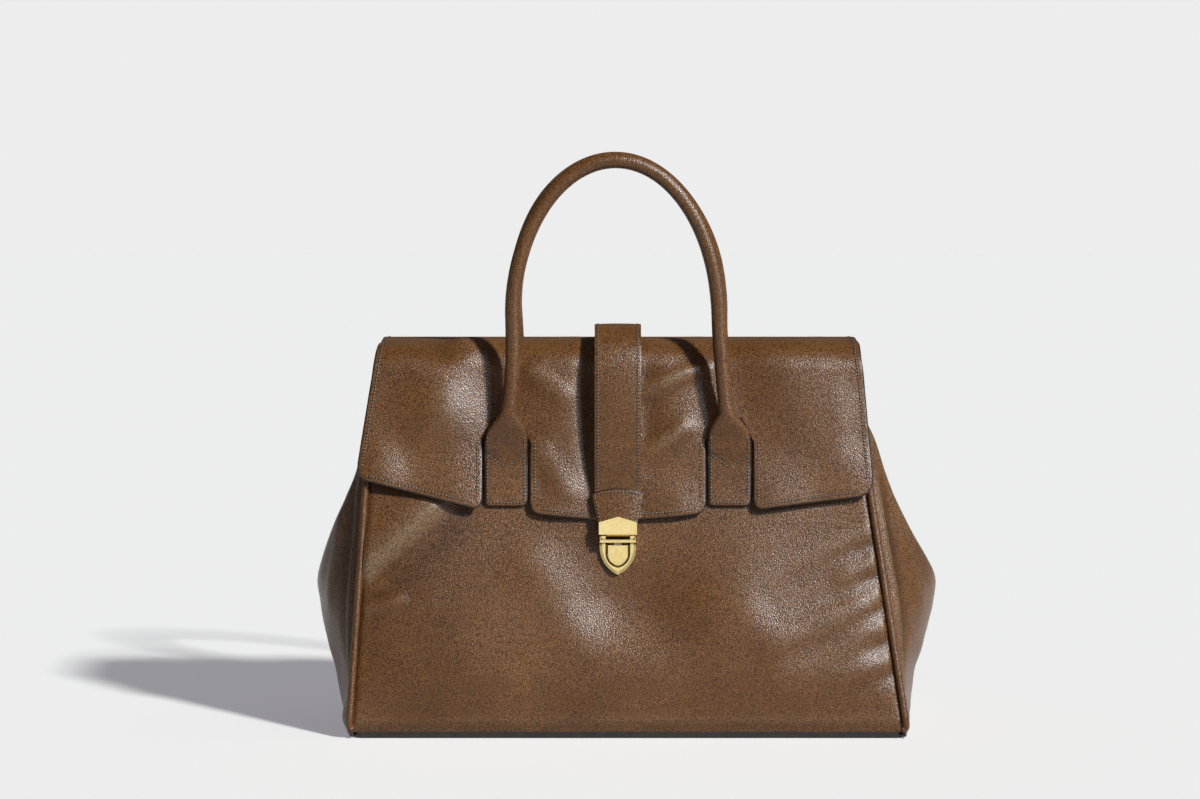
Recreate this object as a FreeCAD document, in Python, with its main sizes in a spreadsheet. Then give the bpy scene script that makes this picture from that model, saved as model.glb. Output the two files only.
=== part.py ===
import FreeCAD, Part
import math
import os
import re
import Sketcher

# Top handle bag with a flap, two rolled handles and a tuck lock. Millimetres.
# +X is the viewer's right, -Y is the front, +Z is up, the base rests on Z = 0.

doc = FreeCAD.newDocument("top_handle_bag")
sheet = doc.addObject("Spreadsheet::Sheet", "Sheet")
derived = doc.addObject("App::VarSet", "Derived")
names = {}

# Driving sizes, each written once
SIZES = [
    # body
    ("base_width", 380, "front and back panel width at the base"),
    ("top_width", 324, "front and back panel width at the top edge"),
    ("panel_height", 258, "upright height of the panels"),
    ("base_depth", 164, "depth over the panels at the base"),
    ("top_depth", 94, "depth over the panels at the top edge"),
    ("leather", 2.4, "panel and gusset leather"),
    ("base_thickness", 4, "base leather, stands on the floor"),
    ("base_inset", 2, "base leather set back from the panel faces"),
    ("base_corner_radius", 14, "plan corner of the base leather"),
    ("panel_corner_radius", 8, "lower corners of the panels"),
    ("board_thickness", 3, "stiffening board on the base"),
    ("board_margin", 1.5, "board edge to panel"),
    ("seam_gap", 0.1, "space between pieces sewn or stuck together"),
    ("gusset_gap", 0.5, "gusset edge to panel back"),
    ("gusset_foot_bulge", 5, "gusset bow at the base"),
    ("gusset_knee_bulge", 35, "gusset bow at its fullest"),
    ("gusset_shoulder_bulge", 9, "gusset bow at its shoulder"),
    ("gusset_top_bulge", 2, "gusset bow at its tucked top"),
    ("gusset_knee_height", 98, "height of the fullest bow"),
    ("gusset_knee_round", 13, "half height of the rounded knee"),
    ("gusset_knee_ease", 2, "bow lost over the rounded knee"),
    ("gusset_shoulder_height", 200, "height of the shoulder, under the flap"),
    ("gusset_top_drop", 5, "gusset top below the panel top"),
    ("piping_radius", 2, "corded seam on the panel edges"),
    ("lining_gap", 1.2, "space between panel and lining"),
    ("lining", 0.8, "lining cloth on its backing"),
    ("lining_drop", 6, "lining top below the panel top"),
    ("facing_height", 34, "leather facing inside the mouth"),
    ("facing_thickness", 1.2, "facing leather"),
    ("facing_inset", 14, "facing end to panel edge"),
    ("pocket_width", 190, "inner slip pocket"),
    ("pocket_height", 120, "inner slip pocket"),
    ("pocket_rise", 74, "slip pocket bottom above the panel base"),
    ("pocket_sheet", 0.8, "slip pocket cloth"),
    # flap
    ("flap_top_width", 330, "flap width over the top"),
    ("flap_bottom_width", 350, "flap width at its lower corners"),
    ("flap_leather", 2, "flap outer leather"),
    ("flap_lining", 1.2, "flap lining"),
    ("flap_gap", 1.2, "flap back to front panel"),
    ("flap_lift", 9, "flap underside above the panel tops"),
    ("flap_bend_radius", 12, "inside radius of the front bend"),
    ("flap_centre_drop", 112, "panel top to the lowest point of the centre lobe"),
    ("flap_notch_drop", 107, "panel top to the lobe edges beside the handle tabs"),
    ("flap_corner_drop", 88, "panel top to the outer lower corners"),
    ("flap_corner_radius", 9, "outer lower corners of the flap"),
    ("notch_gap", 1.6, "handle tab to the side of its flap notch"),
    ("notch_rise", 27, "notch top above the handle pivot"),
    ("hinge_inset", 1.5, "flap hinge forward of the back panel top edge"),
    ("knuckle_run", 6, "length of the thick rear end of the flap"),
    ("flap_anchor_height", 26, "flap sewn down on the back panel"),
    ("anchor_inset", 2, "flap anchor end to panel edge"),
    # strap
    ("strap_width", 32, "closing strap"),
    ("strap_thickness", 3, "closing strap"),
    ("strap_gap", 4, "strap above the flap top"),
    ("strap_front_gap", 1, "strap in front of the flap"),
    ("strap_bend_radius", 16, "inside radius of the strap bend"),
    ("strap_ramp", 22, "length of the strap rise from the hinge"),
    ("strap_end_drop", 114, "panel top to the strap end"),
    ("strap_side_gap", 1, "strap side to the rear notch in the flap"),
    ("strap_anchor_length", 62, "strap end sewn down on the back panel"),
    ("chape_top_width", 36, "leather chape over the strap end"),
    ("chape_bottom_width", 28, "leather chape at the lock plate"),
    ("chape_thickness", 2, "leather chape"),
    ("chape_top_drop", 93, "panel top to the chape top"),
    ("chape_bottom_drop", 117, "panel top to the chape bottom"),
    ("chape_crown", 4, "rise of the rounded chape top"),
    # lock
    ("lock_drop", 130.4, "panel top to the joint of lock mouth and shield"),
    ("plate_width", 27, "lock plate on the strap"),
    ("plate_height", 13, "lock plate to its peak"),
    ("plate_gable", 4, "height of the peaked top of the plate"),
    ("plate_thickness", 1.8, "lock plate"),
    ("plate_edge_round", 0.5, "front edge of the lock plate"),
    ("plate_clearance", 0.6, "lock plate above the lock mouth"),
    ("tongue_width", 16, "tongue of the lock plate"),
    ("tongue_thickness", 1.2, "tongue of the lock plate"),
    ("tongue_length", 10, "tongue of the lock plate"),
    ("tongue_gap", 0.4, "tongue to the mouth slot"),
    ("tongue_window", 2.4, "length of the window in the tongue"),
    ("window_width", 7, "width of the window in the tongue"),
    ("mouth_width", 26, "lock mouth"),
    ("mouth_height", 4.8, "lock mouth"),
    ("mouth_depth", 10, "lock mouth, front lip to panel"),
    ("mouth_round", 0.9, "rounded front lip of the mouth"),
    ("mouth_lip", 1.9, "height of the front lip"),
    ("mouth_cheek", 1.2, "side walls of the open mouth"),
    ("mouth_trough", 2.4, "depth of the open mouth behind the front face"),
    ("shield_width", 25, "lock shield"),
    ("shield_side", 2.1, "straight sides of the lock shield"),
    ("shield_point", 9, "centres of the shield arcs past its middle"),
    ("shield_step", 0.8, "setback of each shield border"),
    ("shield_layer", 1.6, "thickness of each shield border"),
    ("shield_wall", 1.8, "front wall of the shield over the cavity"),
    ("button_width", 14.6, "push button"),
    ("button_side", 5.8, "straight sides of the push button"),
    ("button_point", 1.6, "centres of the push button arcs past its middle"),
    ("button_top_inset", 1.1, "push button top below the shield top"),
    ("button_gap", 1.3, "push button to its opening"),
    ("button_flange", 1.7, "hidden rim of the push button"),
    ("button_rim", 1.1, "thickness of the hidden rim"),
    ("button_proud", 0.8, "push button in front of the shield"),
    ("button_round", 0.6, "front edge of the push button"),
    ("catch_width", 5, "catch spring"),
    ("catch_sheet", 0.4, "catch spring"),
    ("catch_stand", 1.2, "catch spring in front of the panel"),
    ("catch_length", 11, "catch spring below the mouth"),
    ("catch_tooth", 0.8, "tooth of the catch spring"),
    ("rivet_radius", 1.3, "rivets holding the lock"),
    ("rivet_spacing", 17, "between the two rivets"),
    ("rivet_gap", 0.2, "rivet to its hole"),
    ("back_plate_width", 24, "plate behind the front panel"),
    ("back_plate_height", 17, "plate behind the front panel"),
    ("back_plate", 0.8, "plate behind the front panel"),
    # handles
    ("handle_span", 154, "between the handle tab centres"),
    ("handle_rise", 201.5, "pivot to the middle of the tube at the top"),
    ("handle_top_radius", 60, "top arc of the handle"),
    ("handle_side_radius", 520, "side arcs of the handle"),
    ("tube_radius", 6.1, "rolled handle"),
    ("tube_wall", 2, "leather round the handle core"),
    ("handle_stand_off", 7, "handle tube in front of its pivot"),
    ("neck_height", 31, "pivot to the start of the tube"),
    ("neck_inset", 2, "tube start inside the tab centre"),
    ("neck_collar", 0.3, "flared leather proud of the tube at the neck"),
    ("flare_height", 14, "pivot to the top of the full tab width"),
    ("pivot_drop", 71, "panel top to the handle pivot"),
    ("barrel_radius", 3, "rounded lower end of the handle"),
    ("joint_gap", 0.4, "round joint face to its fixed neighbour"),
    ("tab_width", 30, "handle tab"),
    ("tab_thickness", 3, "handle tab"),
    ("tab_drop", 104, "panel top to the tab end"),
    ("tab_corner_radius", 4, "lower corners of the tab"),
]
for row, (alias, number, note) in enumerate(SIZES, start=1):
    sheet.set("A%d" % row, note)
    sheet.set("B%d" % row, str(number))
    sheet.setAlias("B%d" % row, alias)
    names[alias] = "Sheet." + alias
doc.recompute()


# Expressions, sketches and features

def ex(text):
    """Point each size name in an expression at the sheet or the derived values."""
    return re.sub(r"[a-z][a-z_]*", lambda m: names.get(m.group(0), m.group(0)), text)


def value(text):
    """Number that an expression has now."""
    found = sheet.evalExpression(ex(text))
    return float(getattr(found, "Value", found))


def derive(name, kind, text):
    """Add a value that follows from the driving sizes."""
    derived.addProperty("App::Property" + kind, name, "Derived", text)
    derived.setExpression(name, ex(text))
    names[name] = "Derived." + name
    doc.recompute()


def new_body(label, frame=None):
    """Start a body, placed in one of the derived frames."""
    body = doc.addObject("PartDesign::Body", label)
    body.Label = label
    if frame:
        body.setExpression("Placement", ex(frame))
    return body


def plane_of(body, role):
    """Origin plane or axis of a body."""
    return [item for item in body.Origin.OriginFeatures if item.Role == role][0]


def arc_between(start, end, radius, centre_left):
    """Shorter arc from start to end with its centre left or right of the way."""
    dx = end[0] - start[0]
    dy = end[1] - start[1]
    chord = math.hypot(dx, dy)
    rise = math.sqrt(max(radius * radius - chord * chord / 4, 0))
    turn = 1 if centre_left else -1
    cx = (start[0] + end[0]) / 2 - turn * rise * dy / chord
    cy = (start[1] + end[1]) / 2 + turn * rise * dx / chord
    first, last = (start, end) if centre_left else (end, start)
    a0 = math.atan2(first[1] - cy, first[0] - cx)
    a1 = math.atan2(last[1] - cy, last[0] - cx)
    if a1 < a0:
        a1 += 2 * math.pi
    circle = Part.Circle(FreeCAD.Vector(cx, cy, 0), FreeCAD.Vector(0, 0, 1), radius)
    return Part.ArcOfCircle(circle, a0, a1)


def bind(sk, constraint, text):
    """Add a dimension to a sketch and bind it to an expression."""
    index = sk.addConstraint(constraint)
    sk.setExpression("Constraints[%d]" % index, ex(text))


def new_sketch(body, name, plane, offset=None):
    """Start a sketch on an origin plane, moved along its normal."""
    sk = body.newObject("Sketcher::SketchObject", name)
    sk.AttachmentSupport = [(plane_of(body, plane), "")]
    sk.MapMode = "FlatFace"
    if offset:
        sk.setExpression("AttachmentOffset.Base.z", ex(offset))
    return sk


def outline(body, name, plane, loops, circles=(), offset=None):
    """Sketch of closed loops. A point may carry (radius, centre side) for the side after it."""
    sk = new_sketch(body, name, plane, offset)
    for loop in loops:
        spots = [(value(point[0]), value(point[1])) for point in loop]
        count = len(loop)
        ids = []
        for i, point in enumerate(loop):
            a = spots[i]
            b = spots[(i + 1) % count]
            if len(point) > 2:
                left = point[3] == "left"
                geo = sk.addGeometry(arc_between(a, b, value(point[2]), left))
                ids.append((geo, 1, 2) if left else (geo, 2, 1))
                bind(sk, Sketcher.Constraint("Radius", geo, value(point[2])), point[2])
            else:
                line = Part.LineSegment(FreeCAD.Vector(a[0], a[1], 0), FreeCAD.Vector(b[0], b[1], 0))
                ids.append((sk.addGeometry(line), 1, 2))
        for i in range(count):
            here = ids[i]
            after = ids[(i + 1) % count]
            sk.addConstraint(Sketcher.Constraint("Coincident", here[0], here[2], after[0], after[1]))
        for i, point in enumerate(loop):
            geo, pos = ids[i][0], ids[i][1]
            bind(sk, Sketcher.Constraint("DistanceX", -1, 1, geo, pos, spots[i][0]), point[0])
            bind(sk, Sketcher.Constraint("DistanceY", -1, 1, geo, pos, spots[i][1]), point[1])
    for x, y, radius in circles:
        centre = FreeCAD.Vector(value(x), value(y), 0)
        geo = sk.addGeometry(Part.Circle(centre, FreeCAD.Vector(0, 0, 1), value(radius)))
        bind(sk, Sketcher.Constraint("DistanceX", -1, 1, geo, 3, centre.x), x)
        bind(sk, Sketcher.Constraint("DistanceY", -1, 1, geo, 3, centre.y), y)
        bind(sk, Sketcher.Constraint("Radius", geo, value(radius)), radius)
    return sk


def pad(body, name, sk, length, reverse=False, both=False):
    """Pad a sketch along its normal."""
    feature = body.newObject("PartDesign::Pad", name)
    feature.Profile = sk
    feature.SideType = "Symmetric" if both else "One side"
    feature.setExpression("Length", ex(length))
    feature.Reversed = reverse
    return feature


def pocket(body, name, sk, length, reverse=False, both=False):
    """Cut a sketch out of a body, against its normal unless reversed."""
    feature = body.newObject("PartDesign::Pocket", name)
    feature.Profile = sk
    feature.SideType = "Symmetric" if both else "One side"
    feature.setExpression("Length", ex(length))
    feature.Reversed = reverse
    return feature


def rounded(body, name, base, radius, pick):
    """Round the edges of a feature that pick chooses."""
    doc.recompute()
    edges = ["Edge%d" % (i + 1) for i, edge in enumerate(base.Shape.Edges) if pick(edge)]
    feature = body.newObject("PartDesign::Fillet", name)
    feature.Base = (base, edges)
    feature.setExpression("Radius", ex(radius))
    return feature


def loft(body, name, sections, kind="AdditiveLoft"):
    """Loft through sketches, straight from one to the next."""
    feature = body.newObject("PartDesign::" + kind, name)
    feature.Profile = sections[0]
    feature.Sections = sections[1:]
    feature.Ruled = True
    return feature


def mirrored(body, name, originals):
    """Mirror features left to right and make the result the body's tip."""
    feature = body.newObject("PartDesign::Mirrored", name)
    feature.Originals = originals
    feature.MirrorPlane = (plane_of(body, "YZ_Plane"), [""])
    body.Tip = feature
    return feature


def rect(x0, y0, x1, y1):
    """Loop of a rectangle."""
    return [(x0, y0), (x1, y0), (x1, y1), (x0, y1)]


def along_y(edge):
    """Whether an edge is straight and runs front to back."""
    box = edge.BoundBox
    return box.YLength > 0.5 and box.XLength < 0.01 and box.ZLength < 0.01


# Values that follow from the driving sizes

derive("lean", "Angle", "atan2((base_depth - top_depth)/2; panel_height)")
derive("slope", "Float", "panel_height/cos(lean)")
derive("panel_base", "Float", "base_thickness + leather*sin(lean) + seam_gap")
derive("top_edge", "Float", "panel_base + panel_height")
derive("taper", "Angle", "atan2((base_width - top_width)/2; slope)")
derive("flap_total", "Float", "flap_lining + seam_gap + flap_leather")
derive("flap_floor", "Float", "top_edge + flap_lift")
derive("hinge_y", "Float", "top_depth/2 - hinge_inset")
derive("hinge_z", "Float", "flap_floor + flap_total/2")
derive("pivot_v", "Float", "slope - pivot_drop")
derive("pivot_n", "Float", "barrel_radius + joint_gap")
derive("pivot_y", "Float", "-base_depth/2 + pivot_v*sin(lean) - pivot_n*cos(lean)")
derive("pivot_z", "Float", "panel_base + pivot_v*cos(lean) + pivot_n*sin(lean)")
derive("strap_n", "Float", "flap_gap + flap_total + strap_front_gap")
derive("chape_n", "Float", "strap_n + strap_thickness + seam_gap")
derive("plate_n", "Float", "chape_n + chape_thickness + seam_gap")
derive("lock_v", "Float", "slope - lock_drop")
derive("plate_v", "Float", "lock_v + mouth_height + plate_clearance")
derive("tongue_n", "Float", "plate_n + plate_thickness/2")
derive("tongue_v", "Float", "plate_v + tongue_thickness")
derive("lock_y", "Float", "-base_depth/2 + tongue_v*sin(lean) - tongue_n*cos(lean)")
derive("lock_z", "Float", "panel_base + tongue_v*cos(lean) + tongue_n*sin(lean)")
derive("tongue_angle", "Angle", "atan2(hinge_y - lock_y; hinge_z - lock_z) - lean")
derive("shield_depth", "Float", "3*shield_layer")
derive("window_t", "Float", "tongue_length - tongue_thickness - tongue_window/2")
derive("tooth_n", "Float", "tongue_n - window_t*cos(tongue_angle) + 0.4")
derive("tooth_v", "Float", "tongue_v - window_t*sin(tongue_angle)")
derive("foot_x", "Float", "handle_span/2 - neck_inset")
derive("arch_z", "Float", "handle_rise - handle_top_radius")
derive("arch_reach", "Float", "handle_side_radius - handle_top_radius")
derive("foot_reach", "Float", "hypot(foot_x; neck_height - arch_z)")
derive("foot_turn", "Angle",
       "acos((pow(arch_reach; 2) + pow(foot_reach; 2) - pow(handle_side_radius; 2))"
       "/(2*arch_reach*foot_reach))")
derive("side_turn", "Angle", "180 deg + atan2(neck_height - arch_z; foot_x) - foot_turn")
derive("side_x", "Float", "-1*arch_reach*cos(side_turn)")
derive("side_z", "Float", "arch_z - arch_reach*sin(side_turn)")
derive("neck_turn", "Angle", "atan2(neck_height - side_z; foot_x - side_x)")
derive("core_turn", "Angle", "neck_turn + joint_gap/handle_side_radius*1 rad")
derive("side_arc", "Placement",
       "placement(vector(side_x; 0; side_z); rotation(vector(0; 1; 0); -neck_turn))")
derive("core_arc", "Placement",
       "placement(vector(side_x; 0; side_z); rotation(vector(0; 1; 0); -core_turn))")
derive("top_arc", "Placement",
       "placement(vector(0; 0; arch_z); rotation(vector(0; 1; 0); -side_turn))")
derive("front_frame", "Placement",
       "placement(vector(0; -base_depth/2; panel_base); rotation(vector(1; 0; 0); -lean))")
derive("back_frame", "Placement",
       "placement(vector(0; base_depth/2; panel_base);"
       " rotation(vector(0; 0; 1); 180)*rotation(vector(1; 0; 0); -lean))")
derive("front_pivot", "Placement",
       "placement(vector(0; pivot_y; pivot_z); rotation(vector(0; 0; 1); 0))")
derive("rear_pivot", "Placement",
       "placement(vector(0; -pivot_y; pivot_z); rotation(vector(0; 0; 1); 180))")


# Panels: in their frames the outer face is Y = 0, Z runs up the slope and -Y points out

def panel(label, frame, drilled):
    """Leaning leather wall, drilled for the lock rivets at the front."""
    body = new_body(label, frame)
    loop = [("-base_width/2", "0"), ("base_width/2", "0"),
            ("top_width/2", "slope"), ("-top_width/2", "slope")]
    last = pad(body, label + "_sheet", outline(body, label + "_outline", "XZ_Plane", [loop]), "leather", True)
    if drilled:
        holes = outline(body, label + "_holes", "XZ_Plane", [], rivet_circles("rivet_radius + rivet_gap"))
        last = pocket(body, label + "_drilled", holes, "leather")
    rounded(body, label + "_corners", last, "panel_corner_radius",
            lambda edge: along_y(edge) and edge.CenterOfMass.z < 1 and abs(edge.CenterOfMass.x) > 50)


def rivet_circles(radius):
    """Circles of the two lock rivets."""
    return [(side + "rivet_spacing/2", "lock_v + mouth_height/2", radius) for side in ("-", "")]


panel("front_panel", "front_frame", True)
panel("back_panel", "back_frame", False)

body = new_body("base_panel")
loop = rect("-base_width/2 + base_inset", "-base_depth/2 + base_inset",
            "base_width/2 - base_inset", "base_depth/2 - base_inset")
sole = pad(body, "base_sole", outline(body, "base_outline", "XY_Plane", [loop]), "base_thickness")
rounded(body, "base_corners", sole, "base_corner_radius", lambda edge: edge.BoundBox.ZLength > 1)

body = new_body("base_board")
loop = rect("-base_width/2 + leather + board_margin", "-base_depth/2 + leather + board_margin",
            "base_width/2 - leather - board_margin", "base_depth/2 - leather - board_margin")
board = outline(body, "board_outline", "XY_Plane", [loop], offset="base_thickness")
pad(body, "board", board, "board_thickness")


# Gussets: thin bowed sheets lofted from the base to the top

def half_width(height):
    """Half width of the panels at a height above their lower edge."""
    return "(base_width/2 - (base_width - top_width)/2*(%s)/panel_height)" % height


def half_depth(height, inset):
    """Half depth inside the panels, inset from their outer faces."""
    run = "(base_depth - top_depth)/2*(%s)/panel_height" % height
    return "(base_depth/2 - %s - (%s)/cos(lean))" % (run, inset)


def gusset(label, sign):
    """Bowed side wall between the panels, on the right for an empty sign."""
    body = new_body(label)
    out_side, in_side = ("left", "right") if sign == "" else ("right", "left")
    steps = [
        ("0", "gusset_foot_bulge"),
        ("gusset_knee_height - gusset_knee_round", "(gusset_knee_bulge - gusset_knee_ease)"),
        ("gusset_knee_height", "gusset_knee_bulge"),
        ("gusset_knee_height + gusset_knee_round", "(gusset_knee_bulge - gusset_knee_ease)"),
        ("gusset_shoulder_height", "gusset_shoulder_bulge"),
        ("panel_height - gusset_top_drop", "gusset_top_bulge"),
    ]
    sections = []
    for number, (height, bow) in enumerate(steps):
        wide = half_width(height)
        deep = half_depth(height, "leather + gusset_gap")
        radius = "(pow(%s; 2) + pow(%s; 2))/(2*%s)" % (deep, bow, bow)
        outer = "%s1*%s" % (sign, wide)
        inner = "%s1*(%s - leather)" % (sign, wide)
        loop = [
            (outer, "-1*" + deep, radius, out_side),
            (outer, deep),
            (inner, deep, radius, in_side),
            (inner, "-1*" + deep),
        ]
        name = "%s_section_%d" % (label, number)
        sections.append(outline(body, name, "XY_Plane", [loop], offset="panel_base + " + height))
    loft(body, label + "_skin", sections)


gusset("left_gusset", "-")
gusset("right_gusset", "")


# Piping cords beside the panel edges

def piping(label, frame, sign):
    """Round cord along one panel edge."""
    cord = doc.addObject("Part::Cylinder", label)
    cord.Label = label
    cord.setExpression("Radius", ex("piping_radius"))
    cord.setExpression("Height", ex("slope/cos(taper) - piping_radius"))
    spot = "vector(%s1*(base_width/2 + (piping_radius + seam_gap)/cos(taper)); leather/2; 1)" % sign
    turn = "rotation(vector(0; 1; 0); %staper)" % ("-" if sign == "" else "")
    cord.setExpression("Placement", ex("%s*placement(%s; %s)" % (frame, spot, turn)))


piping("front_left_piping", "front_frame", "-")
piping("front_right_piping", "front_frame", "")
piping("back_right_piping", "back_frame", "-")
piping("back_left_piping", "back_frame", "")


# Lining, facings and slip pocket

def lining_section(body, name, height, shift):
    """Rectangle of the lining at a height above the panel edge, shifted inwards."""
    wide = half_width(height) + " - leather - lining_gap - " + shift
    deep = half_depth(height, "leather + lining_gap + " + shift)
    loop = rect("-1*(%s)" % wide, "-1*" + deep, wide, deep)
    return outline(body, name, "XY_Plane", [loop], offset="panel_base + " + height)


floor = "(board_thickness + base_thickness + seam_gap - panel_base)"
mouth = "(panel_height - lining_drop)"
body = new_body("lining")
loft(body, "lining_outside", [lining_section(body, "lining_low_out", floor, "0"),
                              lining_section(body, "lining_top_out", mouth, "0")])
loft(body, "lining_inside", [lining_section(body, "lining_low_in", "(%s + lining)" % floor, "lining"),
                             lining_section(body, "lining_top_in", mouth, "lining")], "SubtractiveLoft")


def sheet_piece(label, frame, loop, start, thickness, inward=False):
    """Flat sheet in a panel frame, starting a distance off the outer face."""
    body = new_body(label, frame)
    offset = "-1*(%s)" % start if inward else start
    sk = outline(body, label + "_outline", "XZ_Plane", [loop], offset=offset)
    return body, pad(body, label + "_sheet", sk, thickness, inward)


inside = "leather + lining_gap + lining + seam_gap"
facing = rect("-top_width/2 + facing_inset", "slope - lining_drop/cos(lean) - facing_height - 1",
              "top_width/2 - facing_inset", "slope - lining_drop/cos(lean) - 1")
sheet_piece("front_facing", "front_frame", facing, inside, "facing_thickness", True)
sheet_piece("back_facing", "back_frame", facing, inside, "facing_thickness", True)
slip = rect("-pocket_width/2", "pocket_rise", "pocket_width/2", "pocket_rise + pocket_height")
sheet_piece("slip_pocket", "back_frame", slip, inside, "pocket_sheet", True)


# Flap and strap: profiles in the Y Z plane, trimmed from the front

def face_y(z, n):
    """Y of a point in front of the front panel by n at height z."""
    return "(-base_depth/2 + (%s - panel_base)*tan(lean) - (%s)/cos(lean))" % (z, n)


def bent_layer(inner, outer, top, offset, radius, end_drop):
    """Front half of a bent sheet: points from its top outside round to its top inside."""
    cz = "(%s - %s)" % (top, radius)
    cy = face_y(cz, "%s - %s" % (offset, radius))
    low = "(top_edge - (%s)*cos(lean))" % end_drop
    big = "(%s + %s)" % (radius, outer)
    small = "(%s + %s)" % (radius, inner)
    return [
        (cy, "%s + %s" % (top, outer), big, "left"),
        ("%s - %s*cos(lean)" % (cy, big), "%s + %s*sin(lean)" % (cz, big)),
        (face_y(low, "%s + %s" % (offset, outer)), low),
        (face_y(low, "%s + %s" % (offset, inner)), low),
        ("%s - %s*cos(lean)" % (cy, small), "%s + %s*sin(lean)" % (cz, small), small, "right"),
        (cy, "%s + %s" % (top, inner)),
    ]


def flap_front():
    """Front view of the flap with its lobes and handle notches."""
    corner = "top_edge - flap_corner_drop*cos(lean)"
    notch = "top_edge - flap_notch_drop*cos(lean)"
    arch = "pivot_z + notch_rise"
    inner = "(handle_span/2 - tab_width/2 - notch_gap)"
    outer = "(handle_span/2 + tab_width/2 + notch_gap)"
    half = "(tab_width/2 + notch_gap)"
    dip = "(flap_centre_drop - flap_notch_drop)"
    bow = "(pow(%s; 2) + pow(%s; 2))/(2*%s)" % (inner, dip, dip)
    # rounded outer corners: a point on each side of the corner and an arc between
    low_x = "(flap_bottom_width/2 - flap_corner_radius)"
    low_z = "(%s - (%s - (%s))*flap_corner_radius/(flap_bottom_width/2 - %s))" % (
        corner, corner, notch, outer)
    side_run = "(flap_bottom_width - flap_top_width)/2*flap_corner_radius/(flap_floor - (%s))" % corner
    side_x = "(flap_bottom_width/2 - %s)" % side_run
    side_z = "(%s + flap_corner_radius)" % corner
    bend = "1.1*flap_corner_radius"
    return [
        ("-1*" + side_x, side_z, bend, "left"),
        ("-1*" + low_x, low_z),
        ("-1*" + outer, notch),
        ("-1*" + outer, arch + " - " + half, half + " + 0.0001", "right"),
        ("-1*" + inner, arch + " - " + half),
        ("-1*" + inner, notch, bow, "left"),
        (inner, notch),
        (inner, arch + " - " + half, half + " + 0.0001", "right"),
        (outer, arch + " - " + half),
        (outer, notch),
        (low_x, low_z, bend, "left"),
        (side_x, side_z),
        ("flap_top_width/2", "flap_floor"),
        ("flap_top_width/2", "hinge_z + 20"),
        ("-flap_top_width/2", "hinge_z + 20"),
        ("-flap_top_width/2", "flap_floor"),
    ]


def flap_layer(label, profile):
    """Pad a profile across the bag and trim it to the flap's outline."""
    body = new_body(label)
    pad(body, label + "_bend", outline(body, label + "_profile", "YZ_Plane", [profile]),
        "flap_bottom_width + 20", both=True)
    around = rect("-flap_bottom_width", "panel_base", "flap_bottom_width", "hinge_z + 60")
    trim = outline(body, label + "_trim", "XZ_Plane", [around, flap_front()])
    pocket(body, label + "_lobes", trim, "4*base_depth", both=True)
    rear = rect("-strap_width/2 - strap_side_gap", "hinge_y - strap_ramp",
                "strap_width/2 + strap_side_gap", "hinge_y + 20")
    notch = outline(body, label + "_rear_notch", "XY_Plane", [rear])
    pocket(body, label + "_notched", notch, "4*panel_height", both=True)


shell_in = "(flap_lining + seam_gap)"
front_run = bent_layer(shell_in, "flap_total", "flap_floor", "flap_gap", "flap_bend_radius",
                       "flap_centre_drop + 10")
flap_layer("flap_leather", [("hinge_y", "flap_floor + flap_total")] + front_run + [
    ("hinge_y - knuckle_run", "flap_floor + " + shell_in),
    ("hinge_y - knuckle_run", "flap_floor"),
    ("hinge_y", "flap_floor", "flap_total/2", "left"),
    ("hinge_y + flap_total/2", "hinge_z", "flap_total/2", "left"),
])
front_run = bent_layer("0", "flap_lining", "flap_floor", "flap_gap", "flap_bend_radius",
                       "flap_centre_drop + 10")
flap_layer("flap_lining", front_run + [
    ("hinge_y - knuckle_run - seam_gap", "flap_floor"),
    ("hinge_y - knuckle_run - seam_gap", "flap_floor + flap_lining"),
])

strap_floor = "(flap_floor + flap_total + strap_gap)"
front_run = bent_layer("0", "strap_thickness", strap_floor, "strap_n", "strap_bend_radius", "strap_end_drop")
profile = [("hinge_y", "hinge_z + strap_thickness/2"),
           ("hinge_y - strap_ramp", strap_floor + " + strap_thickness")] + front_run + [
    ("hinge_y - strap_ramp", strap_floor),
    ("hinge_y", "hinge_z - strap_thickness/2", "strap_thickness/2", "left"),
    ("hinge_y + strap_thickness/2", "hinge_z", "strap_thickness/2", "left")]
body = new_body("closure_strap")
pad(body, "strap_bend", outline(body, "strap_profile", "YZ_Plane", [profile]), "strap_width", both=True)

anchor_top = "slope + (flap_lift - joint_gap)/cos(lean) - (flap_total + strap_thickness)*tan(lean)"
loop = rect("-top_width/2 + anchor_inset", "slope - flap_anchor_height",
            "top_width/2 - anchor_inset", anchor_top)
sheet_piece("flap_anchor", "back_frame", loop, "seam_gap", "flap_total")
loop = rect("-strap_width/2", "slope - strap_anchor_length", "strap_width/2", anchor_top)
sheet_piece("strap_anchor", "back_frame", loop, "flap_total + 2*seam_gap", "strap_thickness")

crown = "(pow(chape_top_width/2; 2) + pow(chape_crown; 2))/(2*chape_crown)"
loop = [("-chape_bottom_width/2", "slope - chape_bottom_drop"),
        ("chape_bottom_width/2", "slope - chape_bottom_drop"),
        ("chape_top_width/2", "slope - chape_top_drop - chape_crown", crown, "left"),
        ("-chape_top_width/2", "slope - chape_top_drop - chape_crown")]
sheet_piece("strap_chape", "front_frame", loop, "chape_n", "chape_thickness")


# Tuck lock: the tongue and its slot follow the circle that the strap swings on

def on_tongue(t, s):
    """Point t inwards along the tongue and s above it, as Y and Z of the front frame."""
    n = "(tongue_n - (%s)*cos(tongue_angle) - (%s)*sin(tongue_angle))" % (t, s)
    v = "(tongue_v - (%s)*sin(tongue_angle) + (%s)*cos(tongue_angle))" % (t, s)
    return ("-1*" + n, v)


def tongue_loop(t0, t1, s):
    """Loop along the tongue from t0 to t1, s to each side."""
    return [on_tongue(t0, "-1*" + s), on_tongue(t1, "-1*" + s), on_tongue(t1, s), on_tongue(t0, s)]


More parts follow.
